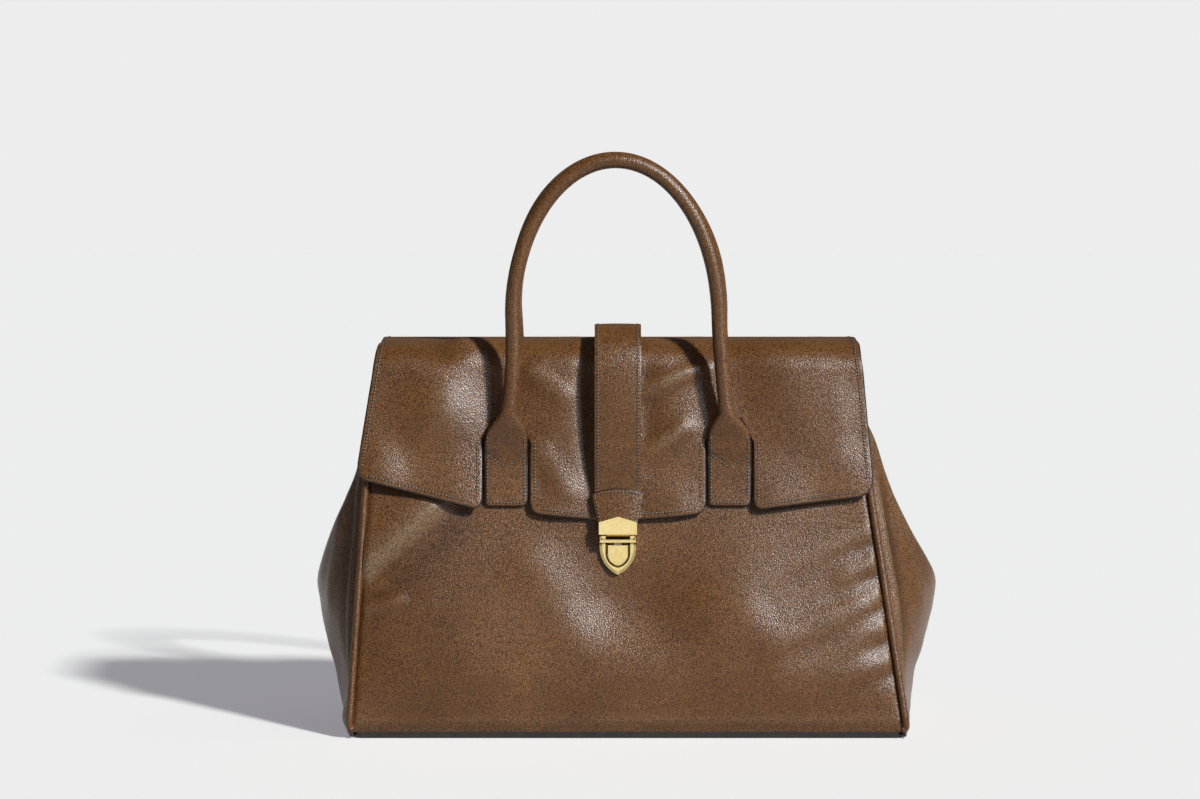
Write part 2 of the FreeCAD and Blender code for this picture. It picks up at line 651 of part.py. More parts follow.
def shield(width, side, top, point):
    """Loop of a pointed shield: straight sides over two round arcs."""
    radius = "(%s + %s)" % (width, point)
    fall = "sqrt(pow(%s; 2) + 2*%s*%s)" % (width, width, point)
    low = "(%s - %s)" % (top, side)
    return [("-1*" + width, top), ("-1*" + width, low, radius, "left"),
            ("0", "%s - %s" % (low, fall), radius, "left"), (width, low), (width, top)]


body, plate = sheet_piece("lock_plate", "front_frame", [
    ("-plate_width/2", "plate_v"), ("plate_width/2", "plate_v"),
    ("plate_width/2", "plate_v + plate_height - plate_gable"), ("0", "plate_v + plate_height"),
    ("-plate_width/2", "plate_v + plate_height - plate_gable")], "plate_n", "plate_thickness")
front_y = -value("plate_n + plate_thickness")
soft = rounded(body, "lock_plate_edge", plate, "plate_edge_round",
               lambda edge: abs(edge.CenterOfMass.y - front_y) < 0.01)
blade = outline(body, "tongue_profile", "YZ_Plane",
                [tongue_loop("0", "tongue_length", "tongue_thickness/2")])
pad(body, "tongue", blade, "tongue_width", both=True)
opening = outline(body, "window_profile", "YZ_Plane",
                  [tongue_loop("window_t - tongue_window/2", "window_t + tongue_window/2",
                               "tongue_thickness")])
pocket(body, "window", opening, "window_width", both=True)

body = new_body("lock_case", "front_frame")
last = None
for layer in range(3):
    w = "(shield_width/2 - %d*shield_step)" % layer
    border = outline(body, "shield_border_%d" % layer, "XZ_Plane",
                     [shield(w, "shield_side", "lock_v", "shield_point")],
                     offset="%d*shield_layer" % layer)
    last = pad(body, "shield_layer_%d" % layer, border, "shield_layer")
block = rect("-mouth_depth", "lock_v", "0", "lock_v + mouth_height")
last = pad(body, "mouth_block", outline(body, "mouth_profile", "YZ_Plane", [block]), "mouth_width", both=True)
lip = -value("mouth_depth")
last = rounded(body, "mouth_lip", last, "mouth_round",
               lambda edge: abs(edge.CenterOfMass.y - lip) < 0.01 and edge.BoundBox.YLength < 0.01)
slot = outline(body, "slot_profile", "YZ_Plane",
               [tongue_loop("-6", "tongue_length + tongue_gap", "(tongue_thickness/2 + tongue_gap)")])
pocket(body, "mouth_slot", slot, "tongue_width + 2*tongue_gap", both=True)
tray = rect("-mouth_depth - 1", "lock_v + mouth_lip",
            "-mouth_depth + mouth_trough", "lock_v + mouth_height + 1")
tray = outline(body, "open_mouth_profile", "YZ_Plane", [tray])
pocket(body, "open_mouth", tray, "mouth_width - 2*mouth_cheek", both=True)
w = "(shield_width/2 - 2*shield_step)"
hollow = outline(body, "cavity_outline", "XZ_Plane", [shield(w, "shield_side", "lock_v", "shield_point")])
pocket(body, "cavity", hollow, "shield_depth - shield_wall", reverse=True)
w = "(button_width/2 + button_gap)"
side = "(button_side + button_gap)"
hole = outline(body, "button_hole", "XZ_Plane",
               [shield(w, side, "lock_v - button_top_inset + button_gap", "button_point")])
pocket(body, "button_opening", hole, "shield_depth + 1", reverse=True)
room = rect("-catch_width/2 - 1", "lock_v - 1", "catch_width/2 + 1", "tooth_v + catch_tooth")
room = outline(body, "catch_room_outline", "XZ_Plane", [room])
pocket(body, "catch_room", room, "tooth_n - 1", reverse=True)

body = new_body("lock_button", "front_frame")
w = "(button_width/2 + button_flange)"
rim_back = "(shield_depth - shield_wall - seam_gap - button_rim)"
rim = outline(body, "button_rim_outline", "XZ_Plane",
              [shield(w, "button_side", "lock_v - button_top_inset", "button_point")], offset=rim_back)
pad(body, "button_back", rim, "button_rim")
w = "(button_width/2)"
plug = outline(body, "button_outline", "XZ_Plane",
               [shield(w, "button_side", "lock_v - button_top_inset", "button_point")], offset=rim_back)
plug_pad = pad(body, "button_face", plug, "button_rim + seam_gap + shield_wall + button_proud")
front_y = -value("shield_depth + button_proud")
rounded(body, "button_edge", plug_pad, "button_round", lambda edge: abs(edge.CenterOfMass.y - front_y) < 0.01)

body = new_body("catch_spring", "front_frame")
loop = [("-1*catch_stand", "lock_v - catch_length"),
        ("-1*catch_stand", "tooth_v + catch_tooth/2"),
        ("-1*tooth_n", "tooth_v + catch_tooth/2"),
        ("-1*tooth_n", "tooth_v - catch_tooth/2 + 0.3"),
        ("-1*(catch_stand + catch_sheet)", "tooth_v - catch_tooth/2"),
        ("-1*(catch_stand + catch_sheet)", "lock_v - catch_length")]
pad(body, "catch_leaf", outline(body, "catch_profile", "YZ_Plane", [loop]), "catch_width", both=True)

body = new_body("lock_rivets", "front_frame")
shanks = outline(body, "rivet_outline", "XZ_Plane", [], rivet_circles("rivet_radius"))
pad(body, "rivet_shanks", shanks, "leather + seam_gap + back_plate + 0.2", True)

body = new_body("lock_back_plate", "front_frame")
loop = rect("-back_plate_width/2", "lock_v + mouth_height + 1 - back_plate_height",
            "back_plate_width/2", "lock_v + mouth_height + 1")
sk = outline(body, "back_plate_outline", "XZ_Plane", [loop], rivet_circles("rivet_radius + rivet_gap"),
             offset="-leather - seam_gap")
pad(body, "back_plate_sheet", sk, "back_plate", True)


# Handles: in their frames the pivot is the X axis and the tube stands in front of it

def stadium(body, name, height, x, y, half, radius):
    """Horizontal rounded section of the handle flare."""
    flat = "(%s - %s)" % (half, radius)
    loop = [("%s - %s" % (x, flat), "%s - %s" % (y, radius)),
            ("%s + %s" % (x, flat), "%s - %s" % (y, radius), radius + " + 0.0001", "left"),
            ("%s + %s" % (x, flat), "%s + %s" % (y, radius)),
            ("%s - %s" % (x, flat), "%s + %s" % (y, radius), radius + " + 0.0001", "left")]
    return outline(body, name, "XY_Plane", [loop], offset=height)


def swing(body, name, frame, radius, turn, sizes):
    """Turn circles of the given sizes about the axis of an arc, at a distance from it."""
    circles = [(radius, "-1*handle_stand_off", size) for size in sizes]
    ring = outline(body, name + "_ring", "XY_Plane", [], circles)
    ring.setExpression("AttachmentOffset", ex(frame))
    feature = body.newObject("PartDesign::Revolution", name)
    feature.Profile = ring
    feature.ReferenceAxis = (ring, ["V_Axis"])
    feature.setExpression("Angle", ex(turn))
    feature.Reversed = True
    return feature


def handle(prefix, frame):
    """Rolled handle with flared ends that turn on round barrels, and its core."""
    body = new_body(prefix + "_handle_cover", frame)
    x = "handle_span/2"
    neck = stadium(body, prefix + "_flare_neck", "0", "handle_side_radius", "-1*handle_stand_off",
                   "(tube_radius + 2*neck_collar)", "(tube_radius + neck_collar)")
    neck.setExpression("AttachmentOffset", ex("side_arc"))
    sections = [
        stadium(body, prefix + "_flare_foot", "0", x, "0", "tab_width/2", "barrel_radius"),
        stadium(body, prefix + "_flare_full", "flare_height", x, "-0.35*handle_stand_off",
                "(tab_width/2 - 0.3)", "(barrel_radius + 0.4)"),
        stadium(body, prefix + "_flare_waist", "(flare_height + neck_height)/2", x + " - neck_inset/2",
                "-0.75*handle_stand_off", "(tab_width/4 + tube_radius/2)", "(tube_radius - 1)"),
        neck,
    ]
    flare = loft(body, prefix + "_flare", sections)
    roll = outline(body, prefix + "_barrel_ring", "YZ_Plane", [], [("0", "0", "barrel_radius")],
                   offset="handle_span/2 - tab_width/2")
    barrel = pad(body, prefix + "_barrel", roll, "tab_width")
    wall = ["tube_radius", "tube_radius - tube_wall"]
    side = swing(body, prefix + "_tube_side", "side_arc", "handle_side_radius", "side_turn - neck_turn", wall)
    mirrored(body, prefix + "_sides", [flare, barrel, side])
    swing(body, prefix + "_tube_top", "top_arc", "handle_top_radius", "180 deg - 2*side_turn", wall)
    body = new_body(prefix + "_handle_core", frame)
    rope = ["tube_radius - tube_wall - seam_gap"]
    side = swing(body, prefix + "_core_side", "core_arc", "handle_side_radius", "side_turn - core_turn", rope)
    mirrored(body, prefix + "_core_sides", [side])
    swing(body, prefix + "_core_top", "top_arc", "handle_top_radius", "180 deg - 2*side_turn", rope)


def handle_tab(label, frame, sign):
    """Sewn tab below one end of a handle."""
    x = "%shandle_span/2" % sign
    loop = rect(x + " - tab_width/2", "slope - tab_drop",
                x + " + tab_width/2", "pivot_v - barrel_radius - joint_gap")
    body, sheet_pad = sheet_piece(label, frame, loop, "seam_gap", "tab_thickness")
    low = value("slope - tab_drop")
    rounded(body, label + "_corners", sheet_pad, "tab_corner_radius",
            lambda edge: along_y(edge) and abs(edge.CenterOfMass.z - low) < 0.1)


handle("front", "front_pivot")
handle("rear", "rear_pivot")
handle_tab("front_left_tab", "front_frame", "-")
handle_tab("front_right_tab", "front_frame", "")
handle_tab("rear_right_tab", "back_frame", "-")
handle_tab("rear_left_tab", "back_frame", "")


# Check every object and write the parts

doc.recompute()
for item in doc.Objects:
    if "Invalid" in item.State or "Error" in item.State:
        raise RuntimeError("object in error: " + item.Label)
pieces = [item for item in doc.Objects if item.TypeId in ("PartDesign::Body", "Part::Cylinder")]
os.makedirs("parts", exist_ok=True)
for item in pieces:
    if item.Shape.isNull() or not item.Shape.isValid() or not item.Shape.Solids:
        raise RuntimeError("bad shape: " + item.Label)
    item.Shape.exportStep(os.path.join("parts", item.Label + ".step"))
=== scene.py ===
import math

import bmesh
import bpy
import numpy as np
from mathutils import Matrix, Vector


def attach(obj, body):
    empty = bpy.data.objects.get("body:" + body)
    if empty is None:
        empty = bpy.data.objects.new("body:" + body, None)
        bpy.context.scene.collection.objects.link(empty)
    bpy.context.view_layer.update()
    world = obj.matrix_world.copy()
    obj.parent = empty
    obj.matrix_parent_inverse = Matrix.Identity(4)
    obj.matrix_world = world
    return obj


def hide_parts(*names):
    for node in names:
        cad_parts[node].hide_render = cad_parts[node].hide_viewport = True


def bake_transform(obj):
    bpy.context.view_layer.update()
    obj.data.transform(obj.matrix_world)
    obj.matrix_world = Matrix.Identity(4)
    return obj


# Brown leather top handle bag. Lengths are millimetres until a mesh is made in metres.

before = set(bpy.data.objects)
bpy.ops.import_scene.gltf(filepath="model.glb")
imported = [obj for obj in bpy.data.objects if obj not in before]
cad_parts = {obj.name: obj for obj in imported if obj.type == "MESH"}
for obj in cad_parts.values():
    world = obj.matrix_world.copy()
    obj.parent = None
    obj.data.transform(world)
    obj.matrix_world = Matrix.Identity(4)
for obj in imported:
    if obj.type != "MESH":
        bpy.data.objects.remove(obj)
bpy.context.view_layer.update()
MM = 0.001

# Body sizes shared with the solids
BASE_HALF_WIDTH = 190.0
TOP_HALF_WIDTH = 162.0
HALF_DEPTH = 82.0
TOP_HALF_DEPTH = 47.0
PANEL_HEIGHT = 258.0
PANEL_FOOT = 4.42
LEAN = math.atan2(HALF_DEPTH - TOP_HALF_DEPTH, PANEL_HEIGHT)
SLOPE = PANEL_HEIGHT / math.cos(LEAN)
PANEL_LEATHER = 2.2
PIPING_RADIUS = 2.4

# Flap, strap and chape
FLAP_REAR_TOP = 269.6
FLAP_FRONT_TOP = 274.0
FLAP_N = 4.5
FLAP_LEATHER = 3.1
ANCHOR_N = 3.4
NOTCH_X = 77.0
NOTCH_HALF = 17.0
NOTCH_ARCH_HALF = 8.2
NOTCH_TOP = 219.5
NOTCH_SPRING = 203.0
LOBE_SIDE_Z = 170.0
FLAP_WIDEST_Z = 176.0
STRAP_HALF = 16.0
STRAP_LEATHER = 3.0
STRAP_REAR_TOP = 279.4
STRAP_FRONT_TOP = 277.0
STRAP_N = 8.5
STRAP_END_V = SLOPE - 114.0
CHAPE_N = 10.6
STRAP_STAND = ([0, 22, 44, 78, 105, 130, 146, 160], [0, 0.5, 6.5, 12.6, 13.4, 9.6, 3.0, 0])

# Handles
HANDLE_FOOT = 75.0
NECK_Z = 223.5
HANDLE_TOP_Z = 396.7
HANDLE_HALF = 70.8
HANDLE_ARCH = 108.0
TUBE_RADIUS = 5.4
ROPE_RADIUS = 3.4
TAB_HALF = 15.0
TAB_BOTTOM = 159.2
TAB_CORNER = 4.0
PIVOT_Y = 59.91
TUBE_PLANE = 66.91
TAB_EDGE_TOP = 208.0
SEAM_POINT_Z = 186.5
SEAM_SLANT = 0.72

# Thread
STITCH_PITCH = 2.3
STITCH_INSET = 2.3


# Number helpers

def ease(value):
    """Smooth step from 0 to 1."""
    value = np.clip(value, 0.0, 1.0)
    return value * value * (3.0 - 2.0 * value)


def bell(value, middle, reach):
    """Smooth hump of height 1."""
    return np.exp(-((value - middle) / reach) ** 2)


def mound(x, z, cx, cz, rx, rz):
    """Round rise of height 1."""
    return bell(x, cx, rx) * bell(z, cz, rz)


def line_places(x, z, start, end):
    """Share of the way along a line at each point, and its distance to the line's left."""
    run = math.hypot(end[0] - start[0], end[1] - start[1])
    ux = (end[0] - start[0]) / run
    uz = (end[1] - start[1]) / run
    along = ((x - start[0]) * ux + (z - start[1]) * uz) / run
    return along, (z - start[1]) * ux - (x - start[0]) * uz


def fold(x, z, start, end, width):
    """Ridge of height 1 along a line, fading at both ends."""
    along, across = line_places(x, z, start, end)
    return bell(across, 0, width) * ease(along * 3 + 0.5) * ease((1 - along) * 3 + 0.5)


def overhang(x, z, start, end, rise, fall):
    """Swell that drops to a crease along a line and fades slowly on its other side."""
    along, across = line_places(x, z, start, end)
    shape = ease(-across / rise) * (1 - ease((-across - rise) / fall))
    return shape * ease(along * 2.5 + 0.6) * ease((1 - along) * 2.5 + 0.6)


def folds(x, z, rows):
    """Sum of folds, each given by its height, start, end and width."""
    return sum(height * fold(x, z, *line) for height, *line in rows)


def mounds(x, z, rows):
    """Sum of mounds, each given by its height, middle and reach."""
    return sum(height * mound(x, z, *place) for height, *place in rows)


def lesser(a, b, soft):
    """Smaller of two heights, with the crease between them rounded."""
    low = np.minimum(a, b)
    return low - soft * np.log1p(np.exp(-np.abs(a - b) / soft))


def spline(at, knots, values):
    """Smooth curve through the knots."""
    knots = np.asarray(knots, float)
    values = np.asarray(values, float)
    slopes = np.gradient(values, knots)
    at = np.clip(np.asarray(at, float), knots[0], knots[-1])
    i = np.clip(np.searchsorted(knots, at) - 1, 0, len(knots) - 2)
    width = knots[i + 1] - knots[i]
    u = (at - knots[i]) / width
    rise = values[i] * (1 + 2 * u) * (1 - u) ** 2 + values[i + 1] * u * u * (3 - 2 * u)
    return rise + width * (slopes[i] * u * (1 - u) ** 2 + slopes[i + 1] * u * u * (u - 1))


def packed(count):
    """Fractions from 0 to 1, closer together at both ends."""
    even = np.linspace(0, 1, count)
    return even / 2 + (1 - np.cos(math.pi * even)) / 4


def points_at(x, y, z):
    """Points from coordinates of one shape, or of shapes that spread to one."""
    return np.stack(np.broadcast_arrays(x, y, z), -1)


def travelled(points):
    """Distance gone along a line at each of its points."""
    return np.concatenate([[0], np.cumsum(np.linalg.norm(np.diff(points, axis=0), axis=1))])


def at_lengths(points, want, gone=None):
    """Values on a line at wanted distances along it. Gone gives the distances of its points, if known."""
    gone = travelled(points) if gone is None else gone
    return np.stack([np.interp(want, gone, column) for column in np.transpose(points)], 1)


def evenly_round(x, y, count):
    """Points in even steps round a closed line."""
    line = np.stack([np.append(x, x[0]), np.append(y, y[0])], 1)
    want = np.linspace(0, travelled(line)[-1], count, endpoint=False)
    return at_lengths(line, want).T


def rounded_box(turn, flat_x, flat_y, radius):
    """Outline with round corners. The flats are half the straight lengths of its sides."""
    x = np.sign(np.cos(turn)) * flat_x + radius * np.cos(turn)
    y = np.sign(np.sin(turn)) * flat_y + radius * np.sin(turn)
    return x, y


# Places on the body

def half_width(z):
    """Half width of the panels at a height."""
    return BASE_HALF_WIDTH - (BASE_HALF_WIDTH - TOP_HALF_WIDTH) * (z - PANEL_FOOT) / PANEL_HEIGHT


def half_depth(z):
    """Half depth over the panels at a height."""
    return HALF_DEPTH - math.tan(LEAN) * (z - PANEL_FOOT)


def slouch(z):
    """The soft body leans a little, so its foot stands to the right of its top."""
    return 7.2 * np.clip(1 - z / 165.0, 0, 1)


def on_panel(x, v, n, side):
    """Points v up a panel and n in front of its face. Side -1 is the front, 1 the back."""
    y = side * (HALF_DEPTH - v * math.sin(LEAN) + n * math.cos(LEAN))
    z = PANEL_FOOT + v * math.cos(LEAN) + n * math.sin(LEAN)
    return points_at(x, y, z)


def up_panel(z, n=0.0):
    """Distance up a panel of a height."""
    return (z - PANEL_FOOT - n * math.sin(LEAN)) / math.cos(LEAN)


def sink(x, v, press=3.4):
    """Leather pressed in under the flap and the strap, but not behind the handle tabs."""
    tabs = mound(np.abs(x), v, NOTCH_X, 172, 24, 26)
    edge = 1 - np.abs(x / half_width(v)) ** 6
    deep = 3.2 + press * bell(x, -22, 26) * ease((v - 165) / 25)
    return deep * edge * ease((v - 146) / 40) * (1 - tabs)


# Relief of the panels and gussets

LEFT_FOLD = ((-112, 152), (-173, 101))
FRONT_FOLDS = [
    (1.4, (-150, 92), (-178, 84), 5), (1.6, (-64, 128), (-26, 60), 18), (2.0, (176, 84), (96, 58), 13),
    (1.6, (172, 52), (100, 34), 12), (-1.2, (150, 104), (96, 84), 14),
]
BACK_FOLDS = [
    (2.2, (-110, 150), (-172, 96), 14), (2.2, (112, 146), (172, 100), 14), (-1.4, (70, 120), (160, 80), 14),
]


def seam_puckers(x, v):
    """Small waves beside the right seam."""
    from_seam = half_width(v) - x
    wave = np.sin((v + 0.42 * from_seam) / 3.6) * np.exp(-from_seam / 30)
    return wave * ease(from_seam / 5) * ease((v - 20) / 30) * (1 - ease((v - 125) / 25))


def held_at_seams(relief, x, v):
    """Relief pressed in beside the side seams and turned in at the foot."""
    relief = relief - 1.3 * bell(np.abs(x), half_width(v), 2.4)
    return relief * ease(v / 9) - 2.6 * (1 - ease(v / 9))


def front_swell(x, v):
    """Soft relief of the front panel."""
    edge = 1 - np.clip(np.abs(x / half_width(v)), 0, 1) ** 6
    rise = ease(v / 42) * (1 - ease((v - 80) / 85))
    hold = bell(x, 0, 62) * ease((v - 45) / 50)
    out = 6.0 * edge * rise * (1 - hold) - 0.4 * hold - sink(x, v)
    out += 4.6 * overhang(x, v, *LEFT_FOLD, 13, 44) + 1.3 * seam_puckers(x, v)
    out += folds(x, v, FRONT_FOLDS) + 3.6 * mound(x, v, 86, 74, 36, 42)
    out += 0.5 * np.sin(x / 17 + 1.3) * np.sin(v / 21 + 0.4) * edge * (1 - ease((v - 110) / 30))
    return held_at_seams(out, x, v)


def relief_sheen_and_shade(relief, x, v, reach=6.0):
    """Painted sheen on ridges, up to 1, and painted shade in creases, down to -1."""
    around = relief(x + reach, v) + relief(x - reach, v) + relief(x, v + reach) + relief(x, v - reach)
    return np.clip((relief(x, v) - around / 4) / 0.9, -1, 1)


def front_sheen_and_shade(x, v):
    """Painted sheen and shade of the front panel, with a painted sheen on the fold at its left and painted
    shade in the crease below it.
    """
    tone = 0.5 * relief_sheen_and_shade(front_swell, x, v)
    # Painted sheen along the left fold, and painted shade over the panel's left part, away from the light.
    tone = tone + 0.9 * overhang(x, v, *LEFT_FOLD, 3.5, 28) - 0.14 * ease((-x - 60) / 90)
    # Painted shade along the crease under the fold, and a thin painted sheen where the fold meets the left
    # seam.
    tone = tone + folds(x, v, [(-0.45, (-104, 145), (-166, 92), 8), (0.5, (-176, 108), (-156, 99), 3)])
    return np.clip(tone, -1, 1)


def back_sheen_and_shade(x, v):
    """Painted sheen and painted shade of the back panel, from its relief."""
    return 0.5 * relief_sheen_and_shade(back_swell, x, v)


def back_swell(x, v):
    """Soft relief of the back panel."""
    edge = 1 - np.clip(np.abs(x / half_width(v)), 0, 1) ** 6
    rise = ease(v / 42) * (1 - ease((v - 95) / 90))
    out = 6.0 * edge * rise - sink(x, v, 0.0) + folds(x, v, BACK_FOLDS)
    out += 0.6 * np.sin(x / 19 + 0.4) * np.sin(v / 23 + 1.1) * edge
    return held_at_seams(out, x, v)


# For each side: bow below and above the knee by height, then the knee's bow, its crease, the foot's swell
GUSSETS = {
    -1: (([0, 4, 8, 14, 26, 42, 62, 82, 101, 112], [3, 5, 8, 10.2, 12.2, 16, 24.4, 30.5, 33, 33.5]),
         ([96, 120, 145, 160, 178, 206, 224, 258], [36.5, 30.5, 22.5, 16.5, 10.5, 7, 4, 1.5]),
         36.0, 1.4, 3.4),
    1: (([0, 8, 26, 42, 55, 65, 75, 86, 101, 112], [3, 8, 11.5, 16, 23.5, 28.5, 33, 37.5, 39.5, 39.5]),
        ([96, 106, 120, 130, 145, 178, 206, 216, 226, 258],
         [43.5, 41, 35.5, 31, 25, 14.5, 8, 4.5, 2.5, 1.5]),
        43.0, 0.8, 1.2),
}
GUSSET_SPAN = 60.0
GUSSET_FOLDS = [
    (2.4, (-55.2, 176), (-54.0, 30), 2.2), (-1.5, (-50.5, 172), (-48.5, 44), 3.0),
    (1.4, (-42, 150), (-34, 84), 5.0), (1.2, (-26, 60), (-6, 22), 8), (1.4, (46, 168), (38, 96), 6),
]


def gusset_bow(s, z, sign):
    """How far a gusset stands out, from s = -1 at the front seam to 1 at the back."""
    lower, upper, knee, crease, foot = GUSSETS[sign]
    round_part = spline(z, *lower) * (1 - np.abs(s) ** 2.1)
    tent = lesser(knee * (1 - np.abs(s) ** 1.9), spline(z, *upper), crease)
    mix = ease((z - 86) / 24)
    across = s * GUSSET_SPAN
    bow = round_part * (1 - mix) + tent * mix + folds(across, z, GUSSET_FOLDS)
    bow += foot * mound(across, z, -48, 12, 12, 9)
    bow += 0.5 * np.sin(s * 5 + z / 17) * (1 - np.abs(s) ** 4)
    return bow


# Lines that the flap, the strap and its anchor follow over the top

def bent_line(corners, step=0.6):
    """Dense (y, z) line through corners (y, z, radius), each corner rounded to its radius."""
    spots = [np.array(corner[:2], float) for corner in corners]
    out = [spots[0]]
    for before, here, after, corner in zip(spots, spots[1:], spots[2:], corners[1:-1]):
        a = (before - here) / np.linalg.norm(before - here)
        b = (after - here) / np.linalg.norm(after - here)
        half = math.acos(np.clip(a @ b, -1, 1)) / 2
        radius = corner[2]
        centre = here + (a + b) / np.linalg.norm(a + b) * radius / math.sin(half)
        start = here + a * radius / math.tan(half) - centre
        turn = math.pi - 2 * half
        sign = 1 if start[0] * b[1] - start[1] * b[0] > 0 else -1
        for k in np.linspace(0, 1, max(int(turn * radius / step), 4)):
            c, s = math.cos(sign * turn * k), math.sin(sign * turn * k)
            out.append(centre + np.array([c * start[0] - s * start[1], s * start[0] + c * start[1]]))
    line = np.array(out + [spots[-1]])
    length = travelled(line)[-1]
    dense = np.linspace(0, length, int(length / step))
    return at_lengths(line, dense), dense


def along_line(line, x, t, lift):
    """Points at a distance t along a line, lifted off its outer side."""
    spots, lengths = line
    ahead = np.gradient(spots, lengths, axis=0)
    ahead /= np.linalg.norm(ahead, axis=1)[:, None]
    y, z = (np.interp(t, lengths, column) for column in spots.T)
    dy, dz = (np.interp(t, lengths, column) for column in ahead.T)
    return points_at(x, y + dz * lift, z - dy * lift)


def panel_spot(z, n, side):
    """(y, z) of a point at a height in front of a panel."""
    point = on_panel(0.0, up_panel(z, n), n, side)
    return float(point[1]), float(point[2])


flap_line = bent_line([
    panel_spot(237.0, ANCHOR_N, 1),
    (panel_spot(FLAP_REAR_TOP, ANCHOR_N, 1)[0], FLAP_REAR_TOP, 6.5),
    (panel_spot(FLAP_FRONT_TOP, FLAP_N, -1)[0], FLAP_FRONT_TOP, 24.0),
    panel_spot(140.0, FLAP_N, -1),
])
front_half = slice(len(flap_line[0]) // 2, None)
BEND_Z = 240.0
FLAP_BEND = float(np.interp(-BEND_Z, -flap_line[0][front_half, 1], flap_line[1][front_half]))
strap_line = bent_line([
    (45.6, 269.9),
    (49.0, 270.6, 2.0),
    (48.8, 276.4, 2.6),
    (24.0, STRAP_REAR_TOP, 30.0),
    (panel_spot(STRAP_FRONT_TOP, STRAP_N, -1)[0], STRAP_FRONT_TOP, 27.0),
    panel_spot(PANEL_FOOT + STRAP_END_V * math.cos(LEAN) + STRAP_N * math.sin(LEAN), STRAP_N, -1),
])


def flap_t(z):
    """Distance along the flap line of a height on its front."""
    return FLAP_BEND + (BEND_Z - z) / math.cos(LEAN)


def flap_half(t, sign):
    """Half width of the flap along its line, a little fuller on the left."""
    rear, crest, low = (168.0, 166.5, 175.5) if sign > 0 else (165.5, 165.4, 181.0)
    knots = [0, 36, FLAP_BEND - 50, FLAP_BEND - 36, FLAP_BEND - 22, FLAP_BEND - 8, flap_t(FLAP_WIDEST_Z)]
    return np.interp(t, knots, [159.5, rear - 0.5, crest - 0.5, crest + 0.3, 167.2, 168.9, low - 0.5])


FLAP_FOLDS = [
    (2.8, (14, 25), (60, 7), 5.5), (2.4, (14, 70), (50, 47), 6.0), (1.6, (-34, 30), (-62, 8), 7.0),
    (1.5, (-30, 100), (-56, 60), 9.0),
]
FLAP_MOUNDS = [
    (3.0, -122, 36, 19, 26), (2.6, -164, 76, 17, 22), (2.6, -102, -14, 13, 14), (-1.8, -126, -12, 15, 16),
    (-1.6, 60, -10, 16, 16),
]


def flap_lift(x, t):
    """Soft relief of the flap."""
    drop = t - FLAP_BEND + 22
    wide = np.abs(x)
    top = ease((drop + 10) / 25)
    lift = -4.2 * mound(wide, drop, NOTCH_X + 2, 16, 25, 40)
    lift += np.where(x < 0, 1.8, 0.6) * mound(wide, drop, 118, 40, 28, 34)
    lift += folds(x, drop, FLAP_FOLDS) + mounds(x, drop, FLAP_MOUNDS)
    lift -= 3.4 * bell(x, -17, 8.5) * top * (1 - 0.8 * ease((drop - 60) / 50))
    lift -= 2.0 * bell(x, 20, 9) * top * (1 - ease((drop - 40) / 62))
    lift -= 1.3 * ease((x - 150) / 20) * ease((drop - 5) / 20) * (1 - ease((drop - 55) / 30))
    lift += np.where(x < 0, 6.0, 2.8) * ease((drop - 58) / 50) * bell(wide, 112, 34)
    for start, run, middle, reach in ((50, 45, 162, 22), (76, 36, 44, 16)):
        lift += 2.2 * ease((drop - start) / run) * bell(wide, middle, reach)
    lift -= 2.2 * ease((wide - 136) / 30) * bell(drop, -22, 30)
    lift -= 1.6 * ease((-x - 100) / 25) * bell(drop, -30, 40)
    lift += 0.5 * np.sin(x / 14 + 0.7) * np.sin(drop / 17 + 1.9)
    under_strap = ease((wide - 17) / 10)
    return np.where(lift > 0, lift * under_strap, lift) * ease((t - 44) / 20)


# Meshes

def adjusted(item, **settings):
    """Set an item's settings and return it."""
    for key, value in settings.items():
        setattr(item, key, value)
    return item


def in_scene(name, data):
    """New object of the scene."""
    item = bpy.data.objects.new(name, data)
    bpy.context.scene.collection.objects.link(item)
    return item


def mesh_piece(name, points, faces, materials, indices=None):
    """New mesh object from points in millimetres."""
    mesh = bpy.data.meshes.new(name)
    mesh.from_pydata([tuple(p) for p in np.asarray(points) * MM], [], faces)
    for item in materials:
        mesh.materials.append(item)
    if indices is not None:
        mesh.polygons.foreach_set("material_index", indices)
    mesh.update()
    return in_scene(name, mesh)


def ring_faces(rings, count):
    """Faces between closed rings of points."""
    faces = []
    for i in range(rings - 1):
        for k in range(count):
            a, b = i * count + k, i * count + (k + 1) % count
            faces.append((a, b, b + count, a + count))
    return faces


def ring_ends(rings, count):
    """Faces that close the first and the last ring."""
    return [tuple(range(count))[::-1], tuple(range((rings - 1) * count, rings * count))]


def face_outwards(piece):
    """Turn the faces of a closed piece outwards."""
    shell = bmesh.new()
    shell.from_mesh(piece.data)
    bmesh.ops.recalc_face_normals(shell, faces=shell.faces)
    shell.to_mesh(piece.data)
    shell.free()


def made_plain(piece):
    """Apply a piece's modifiers to its mesh."""
    graph = bpy.context.evaluated_depsgraph_get()
    mesh = bpy.data.meshes.new_from_object(piece.evaluated_get(graph))
    mesh.name = piece.name
    piece.modifiers.clear()
    piece.data = mesh
    return piece


def settled(piece, sharp_angle=55):
    """Apply a piece's modifiers to its mesh and shade it smooth."""
    mesh = made_plain(piece).data
    mesh.polygons.foreach_set("use_smooth", [True] * len(mesh.polygons))
    mesh.set_sharp_from_angle(angle=math.radians(sharp_angle))
    return piece


